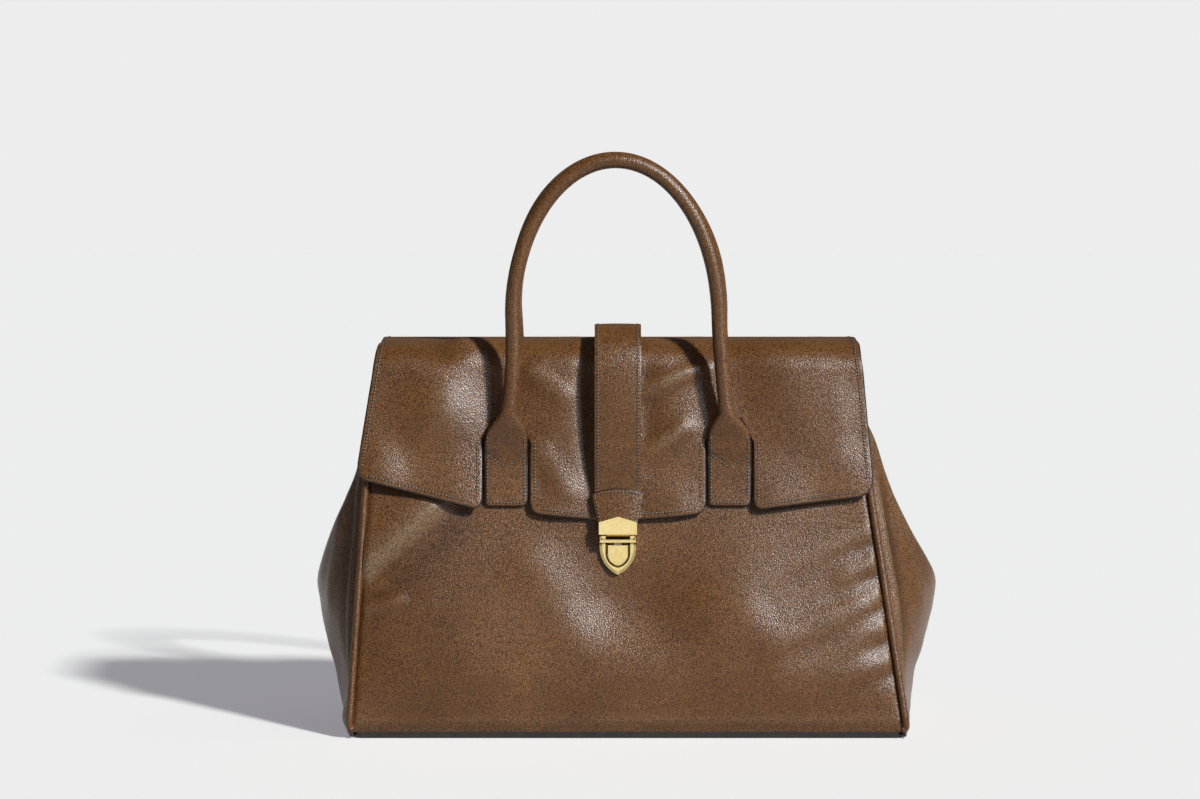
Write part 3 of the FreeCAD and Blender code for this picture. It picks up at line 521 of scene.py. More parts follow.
def turn_edge_back(leather, steps=((0.55, 0.2), (0.95, 0.85))):
    """Round a leather face's border, from steps out of the border and back from the face."""
    leather.normal_update()
    border = [edge for edge in leather.edges if edge.is_boundary]
    ways = {}
    for edge in border:
        face = edge.link_faces[0]
        way = (edge.verts[1].co - edge.verts[0].co).cross(face.normal).normalized()
        if way.dot(edge.verts[0].co - face.calc_center_median()) < 0:
            way = -way
        for vert in edge.verts:
            ways.setdefault(vert, Vector((0, 0, 0)))
            ways[vert] += way
    spots = {vert: (vert.co.copy(), ways[vert].normalized(), vert.normal.copy()) for vert in ways}
    for out, back in steps:
        made = bmesh.ops.extrude_edge_only(leather, edges=border)["geom"]
        moved = {}
        for vert in (item for item in made if isinstance(item, bmesh.types.BMVert)):
            around = [edge.other_vert(vert) for edge in vert.link_edges]
            before = next(other for other in around if other in spots)
            place, way, normal = spots[before]
            vert.co = place + (way * out - normal * back) * MM
            moved[vert] = spots[before]
        for face in (item for item in made if isinstance(item, bmesh.types.BMFace)):
            face.material_index = 1
        border = [item for item in made if isinstance(item, bmesh.types.BMEdge) and item.is_boundary]
        spots = moved


def sheet(name, patches, outward, thickness, materials, edge_round=0.7, tones=None):
    """Leather of one thickness from grids of its outer face. Without edge_round its border turns back."""
    points = []
    faces = []
    for grid in patches:
        rows, columns = grid.shape[:2]
        first = len(points)
        points.extend(grid.reshape(-1, 3))
        for i in range(rows - 1):
            for j in range(columns - 1):
                a = first + i * columns + j
                faces.append((a, a + 1, a + columns + 1, a + columns))
    piece = mesh_piece(name, points, faces, materials)
    # Each point carries a value for the leather colour: painted sheen above 0, painted shade below 0.
    if tones is not None:
        rub_and_painted_light = piece.data.attributes.new("rub_and_painted_light", "FLOAT", "POINT")
        rub_and_painted_light.data.foreach_set("value", np.concatenate([np.ravel(tone) for tone in tones]))
    tidy = bmesh.new()
    tidy.from_mesh(piece.data)
    bmesh.ops.remove_doubles(tidy, verts=tidy.verts, dist=0.02 * MM)
    bmesh.ops.dissolve_degenerate(tidy, edges=tidy.edges, dist=0.01 * MM)
    bmesh.ops.recalc_face_normals(tidy, faces=tidy.faces)
    middle = max(tidy.faces, key=lambda face: face.calc_area())
    if middle.normal.dot(outward(middle.calc_center_median() / MM)) < 0:
        bmesh.ops.reverse_faces(tidy, faces=tidy.faces)
    if not edge_round:
        turn_edge_back(tidy)
    tidy.to_mesh(piece.data)
    tidy.free()
    adjusted(piece.modifiers.new("leather", "SOLIDIFY"), thickness=thickness * MM, offset=-1,
             use_even_offset=False, material_offset_rim=1 if edge_round else 0,
             material_offset=2 if len(materials) > 2 else 0)
    if edge_round:
        adjusted(piece.modifiers.new("edge", "BEVEL"), width=edge_round * MM, segments=2,
                 limit_method="ANGLE", angle_limit=math.radians(60), material=1, use_clamp_overlap=True)
    return settled(piece)


def away_from_middle(point):
    """Direction outwards from the middle line of the bag."""
    return Vector((point[0] * 0.3, point[1], (point[2] - 150) * 0.2))


# Node trees

def feed(tree, target, inputs):
    """Set a node's inputs, or link those given as the output of another node."""
    for key, value in inputs.items():
        if isinstance(value, bpy.types.NodeSocket):
            tree.links.new(value, target.inputs[key])
        else:
            target.inputs[key].default_value = value


def new_node(tree, kind, inputs=None, **settings):
    """New node with its settings and inputs."""
    item = adjusted(tree.nodes.new(kind), **settings)
    feed(tree, item, inputs or {})
    return item


def result_of(tree, kind, output, inputs=None, **settings):
    """One output of a new node."""
    return new_node(tree, kind, inputs, **settings).outputs[output]


# Threads and cords that follow lines

def socket(tree, name, kind, default=None, out=False):
    """Named input or output of a node tree."""
    item = tree.interface.new_socket(name, in_out="OUTPUT" if out else "INPUT", socket_type=kind)
    if default is not None:
        item.default_value = default


def coated(tree, geometry, material, name):
    """End of a tree: its geometry made real, shaded smooth and given its material."""
    for kind in ("GeometryNodeRealizeInstances", "GeometryNodeSetShadeSmooth"):
        geometry = result_of(tree, kind, "Geometry", {"Geometry": geometry})
    inputs = {"Geometry": geometry, "Material": material}
    coat = result_of(tree, "GeometryNodeSetMaterial", "Geometry", inputs)
    new_node(tree, "NodeGroupOutput", {name: coat})


def stitch_tree():
    """Stitches set along lines, each lying along its line and facing out of the leather."""
    tree = bpy.data.node_groups.new("stitches", "GeometryNodeTree")
    socket(tree, "Lines", "NodeSocketGeometry")
    for name, length in (("Pitch", STITCH_PITCH), ("Length", 1.0), ("Width", 0.4), ("Rise", 0.3)):
        socket(tree, name, "NodeSocketFloat", length * MM)
    socket(tree, "Thread", "NodeSocketMaterial")
    socket(tree, "Stitches", "NodeSocketGeometry", out=True)
    given = tree.nodes.new("NodeGroupInput").outputs
    curve = result_of(tree, "GeometryNodeMeshToCurve", "Curve", {"Mesh": given["Lines"]})
    spaced = result_of(tree, "GeometryNodeResampleCurve", "Curve",
                       {"Curve": curve, "Length": given["Pitch"]}, mode="LENGTH")
    bead = result_of(tree, "GeometryNodeMeshUVSphere", "Mesh", {"Segments": 8, "Rings": 5, "Radius": 1.0})
    size = result_of(tree, "ShaderNodeCombineXYZ", "Vector",
                     {"X": given["Length"], "Y": given["Width"], "Z": given["Rise"]})
    tangent = result_of(tree, "GeometryNodeInputTangent", "Tangent")
    out_way = result_of(tree, "GeometryNodeInputNamedAttribute", "Attribute", {"Name": "out_way"},
                        data_type="FLOAT_VECTOR")
    along = result_of(tree, "FunctionNodeAlignRotationToVector", "Rotation", {"Vector": tangent}, axis="X")
    upright = result_of(tree, "FunctionNodeAlignRotationToVector", "Rotation",
                        {"Rotation": along, "Vector": out_way}, axis="Z", pivot_axis="X")
    placed = result_of(tree, "GeometryNodeInstanceOnPoints", "Instances",
                       {"Points": spaced, "Instance": bead, "Rotation": upright, "Scale": size})
    coated(tree, placed, given["Thread"], "Stitches")
    return tree


def cord_tree():
    """Round cord along lines."""
    tree = bpy.data.node_groups.new("piping_cord", "GeometryNodeTree")
    socket(tree, "Lines", "NodeSocketGeometry")
    socket(tree, "Radius", "NodeSocketFloat", PIPING_RADIUS * MM)
    socket(tree, "Leather", "NodeSocketMaterial")
    socket(tree, "Cord", "NodeSocketGeometry", out=True)
    given = tree.nodes.new("NodeGroupInput").outputs
    curve = result_of(tree, "GeometryNodeMeshToCurve", "Curve", {"Mesh": given["Lines"]})
    ring = result_of(tree, "GeometryNodeCurvePrimitiveCircle", "Curve",
                     {"Resolution": 14, "Radius": given["Radius"]})
    tube = result_of(tree, "GeometryNodeCurveToMesh", "Mesh",
                     {"Curve": curve, "Profile Curve": ring, "Fill Caps": True})
    coated(tree, tube, given["Leather"], "Cord")
    return tree


def line_mesh(name, lines):
    """Mesh of open lines, each a pair of points and outward directions."""
    points = []
    ways = []
    edges = []
    for spots, out_ways in lines:
        first = len(points)
        points.extend(np.asarray(spots) * MM)
        ways.extend(out_ways)
        edges.extend((first + i, first + i + 1) for i in range(len(spots) - 1))
    mesh = bpy.data.meshes.new(name)
    mesh.from_pydata([tuple(p) for p in points], edges, [])
    layer = mesh.attributes.new("out_way", "FLOAT_VECTOR", "POINT")
    layer.data.foreach_set("vector", np.asarray(ways, float).ravel())
    return in_scene(name, mesh)


def grown(piece, tree, **inputs):
    """Run a node tree on a line mesh and keep its result as a plain mesh."""
    modifier = piece.modifiers.new(tree.name, "NODES")
    modifier.node_group = tree
    names = {item.name: item.identifier for item in tree.interface.items_tree if item.in_out == "INPUT"}
    for name, value in inputs.items():
        modifier[names[name]] = value
    return made_plain(piece)


def with_normals(place, first, second, raise_by=0.1):
    """Points of a surface at two lists of coordinates, with their outward normals."""
    first = np.asarray(first, float)
    second = np.asarray(second, float)
    step = 0.8
    here = place(first, second)
    across = place(first + step, second) - place(first - step, second)
    down = place(first, second + step) - place(first, second - step)
    normal = np.cross(across, down)
    normal /= np.linalg.norm(normal, axis=1)[:, None]
    outside = here - np.array([0.0, 0.0, 150.0])
    flip = np.sign(np.sum(normal * outside * np.array([0.1, 1.0, 0.4]), axis=1))
    normal *= flip[:, None]
    return here + normal * raise_by, normal


# Materials

def new_material(name, roughness, metallic=0.0):
    """Material with its node tree, its shader and object coordinates."""
    item = bpy.data.materials.new(name)
    item.use_nodes = True
    tree = item.node_tree
    shader = tree.nodes["Principled BSDF"]
    feed(tree, shader, {"Roughness": roughness, "Metallic": metallic})
    return item, tree, shader, result_of(tree, "ShaderNodeTexCoord", "Object")


def noise_node(tree, place, scale, detail=2.0, roughness=0.5, distortion=0.0):
    """Cloudy values from 0 to 1."""
    return result_of(tree, "ShaderNodeTexNoise", "Fac", {
        "Vector": place, "Scale": scale, "Detail": detail,
        "Roughness": roughness, "Distortion": distortion})


def ramp_node(tree, value, low, high, dark, light):
    """Colour from dark at one value to light at another."""
    ramp = new_node(tree, "ShaderNodeValToRGB", {"Fac": value})
    for stop, position, colour in zip(ramp.color_ramp.elements, (low, high), (dark, light)):
        stop.position = position
        stop.color = (*colour, 1)
    return ramp.outputs["Color"]


def range_node(tree, value, low, high, new_low, new_high):
    """Value moved from one range to another and held within it."""
    return result_of(tree, "ShaderNodeMapRange", "Result", {
        "Value": value, "From Min": low, "From Max": high, "To Min": new_low, "To Max": new_high})


def mix_node(tree, kind, first, second, factor=1.0):
    """Two colours mixed."""
    mixed = new_node(tree, "ShaderNodeMix", data_type="RGBA", blend_type=kind)
    feed(tree, mixed, {"Factor": factor, "A": first, "B": second})
    return mixed.outputs["Result"]


def add_node(tree, first, second):
    """Sum of two values."""
    return result_of(tree, "ShaderNodeMath", "Value", {0: first, 1: second}, operation="ADD")


def mixed_shaders(tree, factor, first, second):
    """Two shaders mixed."""
    return result_of(tree, "ShaderNodeMixShader", "Shader", {"Fac": factor, 1: first, 2: second})


def bump_node(tree, shader, height, strength, distance):
    """Small relief of a shader's surface."""
    inputs = {"Height": height, "Strength": strength, "Distance": distance}
    feed(tree, shader, {"Normal": result_of(tree, "ShaderNodeBump", "Normal", inputs)})


def grained_leather(name, deep, light, sheen_colour, grain=0.00098, roughness=(0.26, 0.40), bump=0.6):
    """Glossy leather with fine pebbles, duller where it faces up, in a two-tone colour, with painted shade
    and a painted pale sheen laid on by a piece's attribute.
    """
    item, tree, shader, place = new_material(name, 0.34)
    colour = ramp_node(tree, noise_node(tree, place, 22, 4, 0.6), 0.3, 0.72, deep, light)
    # Painted shade: the colour darkens where the attribute is below 0. Painted sheen: the pale sheen colour
    # is mixed in where it is above 0.
    rub_and_painted_light = result_of(tree, "ShaderNodeAttribute", "Fac", attribute_name="rub_and_painted_light")
    colour = mix_node(tree, "MULTIPLY", colour, range_node(tree, rub_and_painted_light, -1.0, 0.0, 0.4, 1.0))
    colour = mix_node(tree, "MIX", colour, (*sheen_colour, 1), range_node(tree, rub_and_painted_light, 0.0, 1.0, 0.0, 0.5))
    pebbles = new_node(tree, "ShaderNodeTexVoronoi", {"Vector": place, "Scale": 1 / grain}, feature="F1")
    own_tone = ramp_node(tree, pebbles.outputs["Color"], 0.2, 0.8, (0.70, 0.67, 0.64), (1, 1, 1))
    dome = pebbles.outputs["Distance"]
    valleys = ramp_node(tree, dome, 0.25, 0.7, (1, 1, 1), (0.42, 0.37, 0.33))
    for shade in (own_tone, valleys):
        colour = mix_node(tree, "MULTIPLY", colour, shade)
    pores = noise_node(tree, place, 1 / grain, 1)
    gloss = range_node(tree, pores, 0.3, 0.7, roughness[1], roughness[0])
    facing = result_of(tree, "ShaderNodeTexCoord", "Normal")
    upward = result_of(tree, "ShaderNodeSeparateXYZ", "Z", {"Vector": facing})
    dull_top = range_node(tree, upward, 0.82, 0.98, 0.0, 0.36)
    feed(tree, shader, {"Specular IOR Level": 0.42, "Base Color": colour,
                        "Roughness": add_node(tree, gloss, dull_top)})
    height = add_node(tree, pores, range_node(tree, dome, 0.0, 0.8, 1.0, 0.0))
    bump_node(tree, shader, height, bump, 0.00025)
    return item


def edge_paint_and_sole_shade():
    """Dark burnished paint on cut leather edges, also laid on the sole as painted shade under the bag."""
    item, tree, shader, place = new_material("edge_paint_and_sole_shade", 0.34)
    colour = ramp_node(tree, noise_node(tree, place, 160, 3), 0.35, 0.7,
                       (0.010, 0.007, 0.006), (0.026, 0.018, 0.014))
    feed(tree, shader, {"Base Color": colour})
    bump_node(tree, shader, noise_node(tree, place, 420, 2), 0.25, 0.0003)
    return item


def plain(name, dark, light, scale, spread, roughness, metallic=0.0):
    """Plain surface in two mottled tones, such as thread or brushed metal."""
    item, tree, shader, place = new_material(name, roughness, metallic)
    colour = ramp_node(tree, noise_node(tree, place, scale), *spread, dark, light)
    feed(tree, shader, {"Base Color": colour})
    return item


def polished_gold():
    """Pale gold plating with faint scuff marks in its gloss and painted shade in its recesses."""
    item, tree, shader, place = new_material("polished_gold", 0.16, 1.0)
    colour = ramp_node(tree, noise_node(tree, place, 60, 3), 0.3, 0.7,
                       (0.86, 0.66, 0.27), (0.93, 0.76, 0.38))
    # Painted shade: the colour goes nearly black where ambient occlusion finds close walls, in the gaps and
    # slots of the lock.
    open_air = result_of(tree, "ShaderNodeAmbientOcclusion", "AO", {"Distance": 0.0022}, samples=12)
    recess_shade = ramp_node(tree, open_air, 0.42, 0.86, (0.05, 0.035, 0.015), (1.0, 1.0, 1.0))
    rub_and_painted_light = range_node(tree, noise_node(tree, place, 420, 3, 0.6, 0.6), 0.35, 0.7, 0.1, 0.2)
    feed(tree, shader, {"Base Color": mix_node(tree, "MULTIPLY", colour, recess_shade), "Roughness": rub_and_painted_light})
    return item


def woven(name, dark, light, pitch):
    """Cloth with crossing threads."""
    item, tree, shader, place = new_material(name, 0.8)
    inputs = {"Vector": place, "Scale": 0.314 / pitch, "Distortion": 0.6}
    waves = [result_of(tree, "ShaderNodeTexWave", "Fac", inputs, bands_direction=axis) for axis in "XZ"]
    height = add_node(tree, *waves)
    feed(tree, shader, {"Base Color": ramp_node(tree, height, 0.4, 1.6, dark, light)})
    bump_node(tree, shader, height, 0.4, 0.0003)
    return item


# The last colour of each leather is the pale colour of its painted sheen.
brown = grained_leather("brown_grained_leather", (0.216, 0.093, 0.027), (0.306, 0.142, 0.046),
                        (0.46, 0.35, 0.23))
lining_hide = grained_leather("smooth_lining_leather", (0.120, 0.060, 0.028), (0.175, 0.095, 0.048),
                              (0.24, 0.15, 0.09), 0.0011, (0.45, 0.6), 0.2)
dark_edge_and_sole_shade = edge_paint_and_sole_shade()
LEATHER_FACES = [brown, dark_edge_and_sole_shade, lining_hide]
thread = plain("brown_thread", (0.20, 0.115, 0.06), (0.36, 0.22, 0.125), 1800, (0.35, 0.65), 0.6)
# Near-black beads at the needle holes are painted shade.
needle_hole_shade = plain("painted_needle_hole_shade", (0.012, 0.008, 0.005), (0.03, 0.018, 0.01), 1800, (0.35, 0.65), 0.6)
gold = polished_gold()
lining_cloth = woven("lining_cloth", (0.11, 0.075, 0.045), (0.20, 0.145, 0.095), 0.0009)
board_fibre = woven("fibre_board", (0.10, 0.08, 0.06), (0.17, 0.14, 0.10), 0.002)
core_rope = woven("core_rope", (0.25, 0.20, 0.13), (0.42, 0.35, 0.25), 0.0016)
spring_steel = plain("spring_steel", (0.45, 0.45, 0.46), (0.6, 0.6, 0.62), 300, (0.3, 0.7), 0.28, 1.0)
stitches = stitch_tree()
piping_cord = cord_tree()


def sewn(name, lines, follow):
    """Stitch rows with near-black beads between the stitches as painted shade in their needle holes, moved
    by follow.
    """
    holes = []
    for spots, ways in lines:
        gone = travelled(spots)
        if gone[-1] < 3 * STITCH_PITCH:
            continue
        want = np.arange(STITCH_PITCH / 2, gone[-1] - STITCH_PITCH / 2, 0.5)
        holes.append((at_lengths(spots, want), at_lengths(ways, want, gone)))
    rows = grown(line_mesh(name, lines), stitches, Thread=thread)
    dots = grown(line_mesh(name + "_holes", holes), stitches, Thread=needle_hole_shade,
                 Length=0.75 * MM, Width=0.95 * MM, Rise=0.2 * MM)
    for piece in (rows, dots):
        follow(piece)


def rides(body):
    """Follow one body."""
    return lambda piece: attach(piece, body)


def bends():
    """Apply a piece's placement to its mesh and leave it where it stands."""
    return lambda piece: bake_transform(piece)


def dress(piece, body, slot, *nodes):
    """Let a piece ride a body in place of solids."""
    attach(piece, body)
    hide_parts(*nodes)


def leather_piece(name, grid, thickness, edge_round, body, node, tone=None, outward=away_from_middle):
    """Leather of one grid that rides a body in place of a solid."""
    tones = None if tone is None else [tone]
    piece = sheet(name, [grid], outward, thickness, LEATHER_FACES, edge_round, tones)
    dress(piece, body, "brown_leather", node)


# Panels, base, gussets and piping

def panel(name, node, side, swell, tone):
    """Leaning panel as one soft skin, up to the underside of the flap."""
    crowd = 1.35
    across = np.sin(np.linspace(-crowd, crowd, 151)) / math.sin(crowd)
    u, v = np.meshgrid(across, np.concatenate([np.linspace(0, 12, 9), np.linspace(15, 247, 84)]))
    x = u * (half_width(PANEL_FOOT + v * math.cos(LEAN)) + 0.3)
    grid = on_panel(x, v, swell(x, v), side)
    grid[..., 0] += slouch(grid[..., 2])
    leather_piece(name, grid, PANEL_LEATHER, 0.5, "bag_body", node, tone(x, v))


panel("front_panel_skin", "front_panel", -1, front_swell, front_sheen_and_shade)
panel("back_panel_skin", "back_panel", 1, back_swell, back_sheen_and_shade)


def base_skin():
    """Sole of the bag with softened edges, in the near-black edge paint as painted shade under the bag."""
    half_y, corner, rise = 79.5, 7.0, 4.6
    rings = [(1.6, 0.0), (0.5, 0.4), (0.0, 1.4), (0.0, rise)]
    count = 96
    turn = np.linspace(0, 2 * math.pi, count, endpoint=False)
    points = []
    for inset, z in rings:
        x, y = rounded_box(turn, BASE_HALF_WIDTH - corner, half_y - corner, corner - inset)
        points.extend(points_at(x + slouch(z), y, z))
    faces = ring_faces(len(rings), count) + ring_ends(len(rings), count)
    skin = settled(mesh_piece("base_skin", points, faces, [dark_edge_and_sole_shade]))
    dress(skin, "bag_body", "brown_leather", "base_panel")


base_skin()


def gusset(name, node, sign):
    """Bowed side wall with its knee and folds."""
    turn = np.linspace(-math.pi / 2, math.pi / 2, 111)
    s, z = np.meshgrid(np.sin(turn), np.concatenate([np.linspace(1.5, 12, 7), np.linspace(15, 250, 84)]))
    x = sign * (half_width(z) + 0.6 + gusset_bow(s, z, sign)) + slouch(z)
    grid = points_at(x, s * (half_depth(z) - 1.2), z)

    def relief(across, height):
        return gusset_bow(np.clip(across / GUSSET_SPAN, -1, 1), height, sign)

    # Painted sheen on the gusset's ridges and painted shade in its creases.
    tone = 0.6 * relief_sheen_and_shade(relief, s * GUSSET_SPAN, z, 4.0)
    leather_piece(name, grid, PANEL_LEATHER, 0.5, "bag_body", node, tone, lambda point: (sign, 0, 0))


gusset("left_gusset_skin", "left_gusset", -1)
gusset("right_gusset_skin", "right_gusset", 1)


def piping(name, node, sign, side):
    """Corded seam beside one panel edge, turned in at its foot."""
    bend_z, bend_radius, top_z, count = 9.0, 3.0, 250, 90
    turn = np.linspace(math.pi / 2, 0, 8)[:-1]
    z = np.concatenate([bend_z - bend_radius * np.sin(turn), np.linspace(bend_z, top_z, count)])
    inward = np.concatenate([bend_radius * (1 - np.cos(turn)), np.zeros(count)])
    x = sign * (half_width(z) + 2.0 - inward) + slouch(z)
    y = side * (half_depth(z) + 0.4 - 3.0 * (1 - ease((z - bend_z + bend_radius) / 7)))
    spots = np.stack([x, y, z], 1)
    cord = grown(line_mesh(name, [(spots, np.zeros((len(z), 3)))]), piping_cord, Leather=brown)
    dress(cord, "bag_body", "brown_leather", node)


for side_name, side in (("front", -1), ("back", 1)):
    for hand, sign in (("left", -1), ("right", 1)):
        label = "%s_%s_piping" % (side_name, hand)
        piping(label + "_cord", label, sign, side)


# Lining, facings and slip pocket

LINING_IN = 6.2
LINING_CORNER = 12.0


def lining_give(x, z, side):
    """How far the lining moves in behind the pressed leather of the front panel."""
    return np.maximum(sink(x, up_panel(z)) - 3.4, 0) if side < 0 else 0.0 * x


def lining_ring(z, count):
    """Rounded rectangle of the lining at a height, in even steps."""
    turn = np.linspace(0, 2 * math.pi, 97)[:-1] + 0.001
    side_in = 6.5 - 4.0 * ease((z - 215) / 30)
    flat_x = half_width(z) - side_in - LINING_CORNER
    flat_y = half_depth(z) - LINING_IN - LINING_CORNER
    return evenly_round(*rounded_box(turn, flat_x, flat_y, LINING_CORNER), count)


def lining_skin():
    """Cloth bag inside, open at the top."""
    count = 240
    heights = np.linspace(8.5, 249, 44)
    points = []
    for z in heights:
        x, y = lining_ring(z, count)
        inward = 0.9 + 0.5 * np.sin(x / 17 + z / 23) * np.sin(z / 31)
        inward = inward + np.where(y < 0, lining_give(x, z, -1), 0)
        points.extend(points_at(x + slouch(z), y - np.sign(y) * inward, z))
    faces = [(a, d, c, b) for a, b, c, d in ring_faces(len(heights), count)]
    faces.append(tuple(range(count)))
    piece = mesh_piece("lining_skin", points, faces, [lining_cloth])
    adjusted(piece.modifiers.new("cloth", "SOLIDIFY"), thickness=0.8 * MM, offset=-1)
    dress(settled(piece), "bag_body", "lining_cloth", "lining")


lining_skin()


def inner_sheet(name, node, low, high, half, side, slot, material, rim):
    """Flat piece sewn inside on the lining."""
    def wall(x, z):
        sag = 0.4 * np.sin(x / half * 5 + 1) * np.sin((z - low) / (high - low) * math.pi)
        y = side * (half_depth(z) - LINING_IN - 3.4 - sag - lining_give(x, z, side))
        return points_at(x, y, z)

    grid = wall(*np.meshgrid(np.linspace(-half, half, 61), np.linspace(low, high, 31)))
    piece = sheet(name, [grid], lambda point: (0, -side, 0), 1.0, [material, rim], 0.3)
    dress(piece, "bag_body", slot, node)
    row_x = np.linspace(-half + 3, half - 3, 120)
    ways = np.tile([0.0, -side, 0.0], (len(row_x), 1))
    for edge_z in (low + STITCH_INSET, high - STITCH_INSET):
        sewn("%s_row_%d" % (name, round(edge_z)), [(wall(row_x, edge_z), ways)], rides("bag_body"))


for side_name, side in (("front", -1), ("back", 1)):
    label = side_name + "_facing"
    inner_sheet(label + "_skin", label, 219, 248, 148, side, "lining_leather", lining_hide, dark_edge_and_sole_shade)
inner_sheet("slip_pocket_skin", "slip_pocket", 77, 196, 95, 1, "lining_cloth", lining_cloth, lining_cloth)


# Flap

def notch_half(z):
    """Half width of a handle notch: upright sides under a narrowing arch."""
    return np.interp(z, [NOTCH_SPRING, 207, 211, 215, NOTCH_TOP],
                     [NOTCH_HALF, 14.6, 12.9, 10.8, NOTCH_ARCH_HALF])


def lobe_bottom(x):
    """Height of the flap's lower edge, which rises more on the left lobe than on the right one."""
    wide = np.abs(x)
    centre = 150.6 + 4.6 * (wide / 60) ** 2
    outer = 157.0 + (wide - 93.6) * np.where(x < 0, 0.25, 0.125)
    return np.where(wide < NOTCH_X, centre, outer)


def rounded_corner(gap, radius):
    """How far a round corner lifts the edge at a gap from its side."""
    near = np.clip(radius - gap, 0, radius)
    return radius - np.sqrt(np.maximum(radius * radius - near * near, 0))


def flap_point(x, t):
    """Outer face of the flap."""
    return along_line(flap_line, x, t, flap_lift(x, t))


def flap_sheen_and_shade(x, t):
    """Painted sheen and painted shade of the flap, from its relief."""
    return 0.6 * relief_sheen_and_shade(flap_lift, x, t)


def flap_lobe(left, right, left_radius, right_radius, columns, rows, notch_t):
    """Grid of one lobe below the notch tops. Left and right give its sides at a height."""
    share, part = np.meshgrid(packed(columns), np.linspace(0, 1, rows))
    low_left, low_right = left(LOBE_SIDE_Z), right(LOBE_SIDE_Z)
    low_x = low_left + share * (low_right - low_left)
    low_z = lobe_bottom(low_x) + rounded_corner(low_x - low_left, left_radius)
    low_z = low_z + rounded_corner(low_right - low_x, right_radius)
    t = notch_t + (flap_t(low_z) - notch_t) * part
    z = BEND_Z - (t - FLAP_BEND) * math.cos(LEAN)
    x = left(z) + share * (right(z) - left(z))
    return flap_point(x, t), flap_sheen_and_shade(x, t)


def flap():
    """One sheet from the back panel over the top to its three lobes."""
    notch_t = flap_t(NOTCH_TOP)
    rows = np.linspace(0, notch_t, 92)[:, None]
    one = np.ones_like(rows)
    arch_in = (NOTCH_X - NOTCH_ARCH_HALF) * one
    arch_out = (NOTCH_X + NOTCH_ARCH_HALF) * one
    sides = [-flap_half(rows, -1), -arch_out, -arch_in, arch_in, arch_out, flap_half(rows, 1)]
    even = np.linspace(0, 1, 9)
    shares = [packed(32), even, packed(46), even, packed(32)]
    strips = [start + share[None, :] * (end - start) for start, end, share in zip(sides, sides[1:], shares)]
    x = np.concatenate([strips[0]] + [strip[:, 1:] for strip in strips[1:]], 1)
    t = np.broadcast_to(rows, x.shape)

    def side_line(sign):
        return lambda z: sign * flap_half(flap_t(z), sign)

    def notch_line(sign, outside):
        return lambda z: sign * (NOTCH_X + outside * notch_half(z))

    lobes = [
        flap_lobe(side_line(-1), notch_line(-1, 1), 9, 6, 32, 30, notch_t),
        flap_lobe(notch_line(-1, -1), notch_line(1, -1), 6, 6, 46, 30, notch_t),
        flap_lobe(notch_line(1, 1), side_line(1), 6, 9, 32, 30, notch_t),
    ]
    grids = [flap_point(x, t)] + [spots for spots, tone in lobes]
    tones = [flap_sheen_and_shade(x, t)] + [tone for spots, tone in lobes]
    skin = sheet("flap_skin", grids, away_from_middle, FLAP_LEATHER, LEATHER_FACES, None, tones)
    follow = bends()
    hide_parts("flap_leather", "flap_lining", "flap_anchor")

    inset = STITCH_INSET + 0.6
    seams = []
    for sign in (-1, 1):
        t = np.arange(3.0, flap_t(lobe_bottom(sign * 176.0) + 9.0), 1.5)
        seams.append((sign * (flap_half(t, sign) - inset), t))
        low_end = flap_half(flap_t(FLAP_WIDEST_Z), sign) - inset - 5
        low = np.linspace(NOTCH_X + NOTCH_HALF + inset + 3, low_end, 70)
        seams.append((sign * low, flap_t(lobe_bottom(sign * low) + inset)))
        z = np.linspace(NOTCH_SPRING, 164.0, 40)
        for outside in (-1, 1):
            seams.append((sign * (NOTCH_X + outside * (notch_half(z) + inset)), flap_t(z)))
    low_end = NOTCH_X - NOTCH_HALF - inset - 3
    low = np.linspace(-low_end, low_end, 120)
    seams.append((low, flap_t(lobe_bottom(low) + inset)))
    foot = np.linspace(-157.0, 157.0, 200)
    seams.append((foot, np.full_like(foot, 3.0)))
    sewn("flap_stitches", [with_normals(flap_point, x, t) for x, t in seams], follow)
    follow(skin)


flap()


# Closing strap with its chape and rear anchor

def strap_point(x, t):
    """Outer face of the strap, a little crowned and wavy, standing off the flap above the lock."""
    crown = -0.5 * (x / STRAP_HALF) ** 2
    stand = spline(strap_line[1][-1] - t, *STRAP_STAND) * ease((t - 40) / 30)
    return along_line(strap_line, x, t, crown + stand + 0.25 * np.sin(t / 29))


def side_rows(place, along):
    """Stitch lines beside both edges of the strap."""
    side = STRAP_HALF - STITCH_INSET
    return [with_normals(place, np.full_like(along, sign * side), along) for sign in (-1, 1)]


def strap():
    """Strap from the hinge over the top to the lock."""
    length = strap_line[1][-1]
    grid = strap_point(*np.meshgrid(np.linspace(-STRAP_HALF, STRAP_HALF, 15), np.linspace(0, length, 150)))
    leather_piece("strap_skin", grid, STRAP_LEATHER, 1.3, "strap", "closure_strap")
    sewn("strap_stitches", side_rows(strap_point, np.arange(12.0, length - 3, 1.5)), rides("strap"))


strap()


def chape_point(x, v):
    """Outer face of the chape over the strap end."""
    return on_panel(x, v, CHAPE_N - 0.9 * (x / 18) ** 2 - 0.5 * ease(np.abs(x) / 9 - 1), -1)


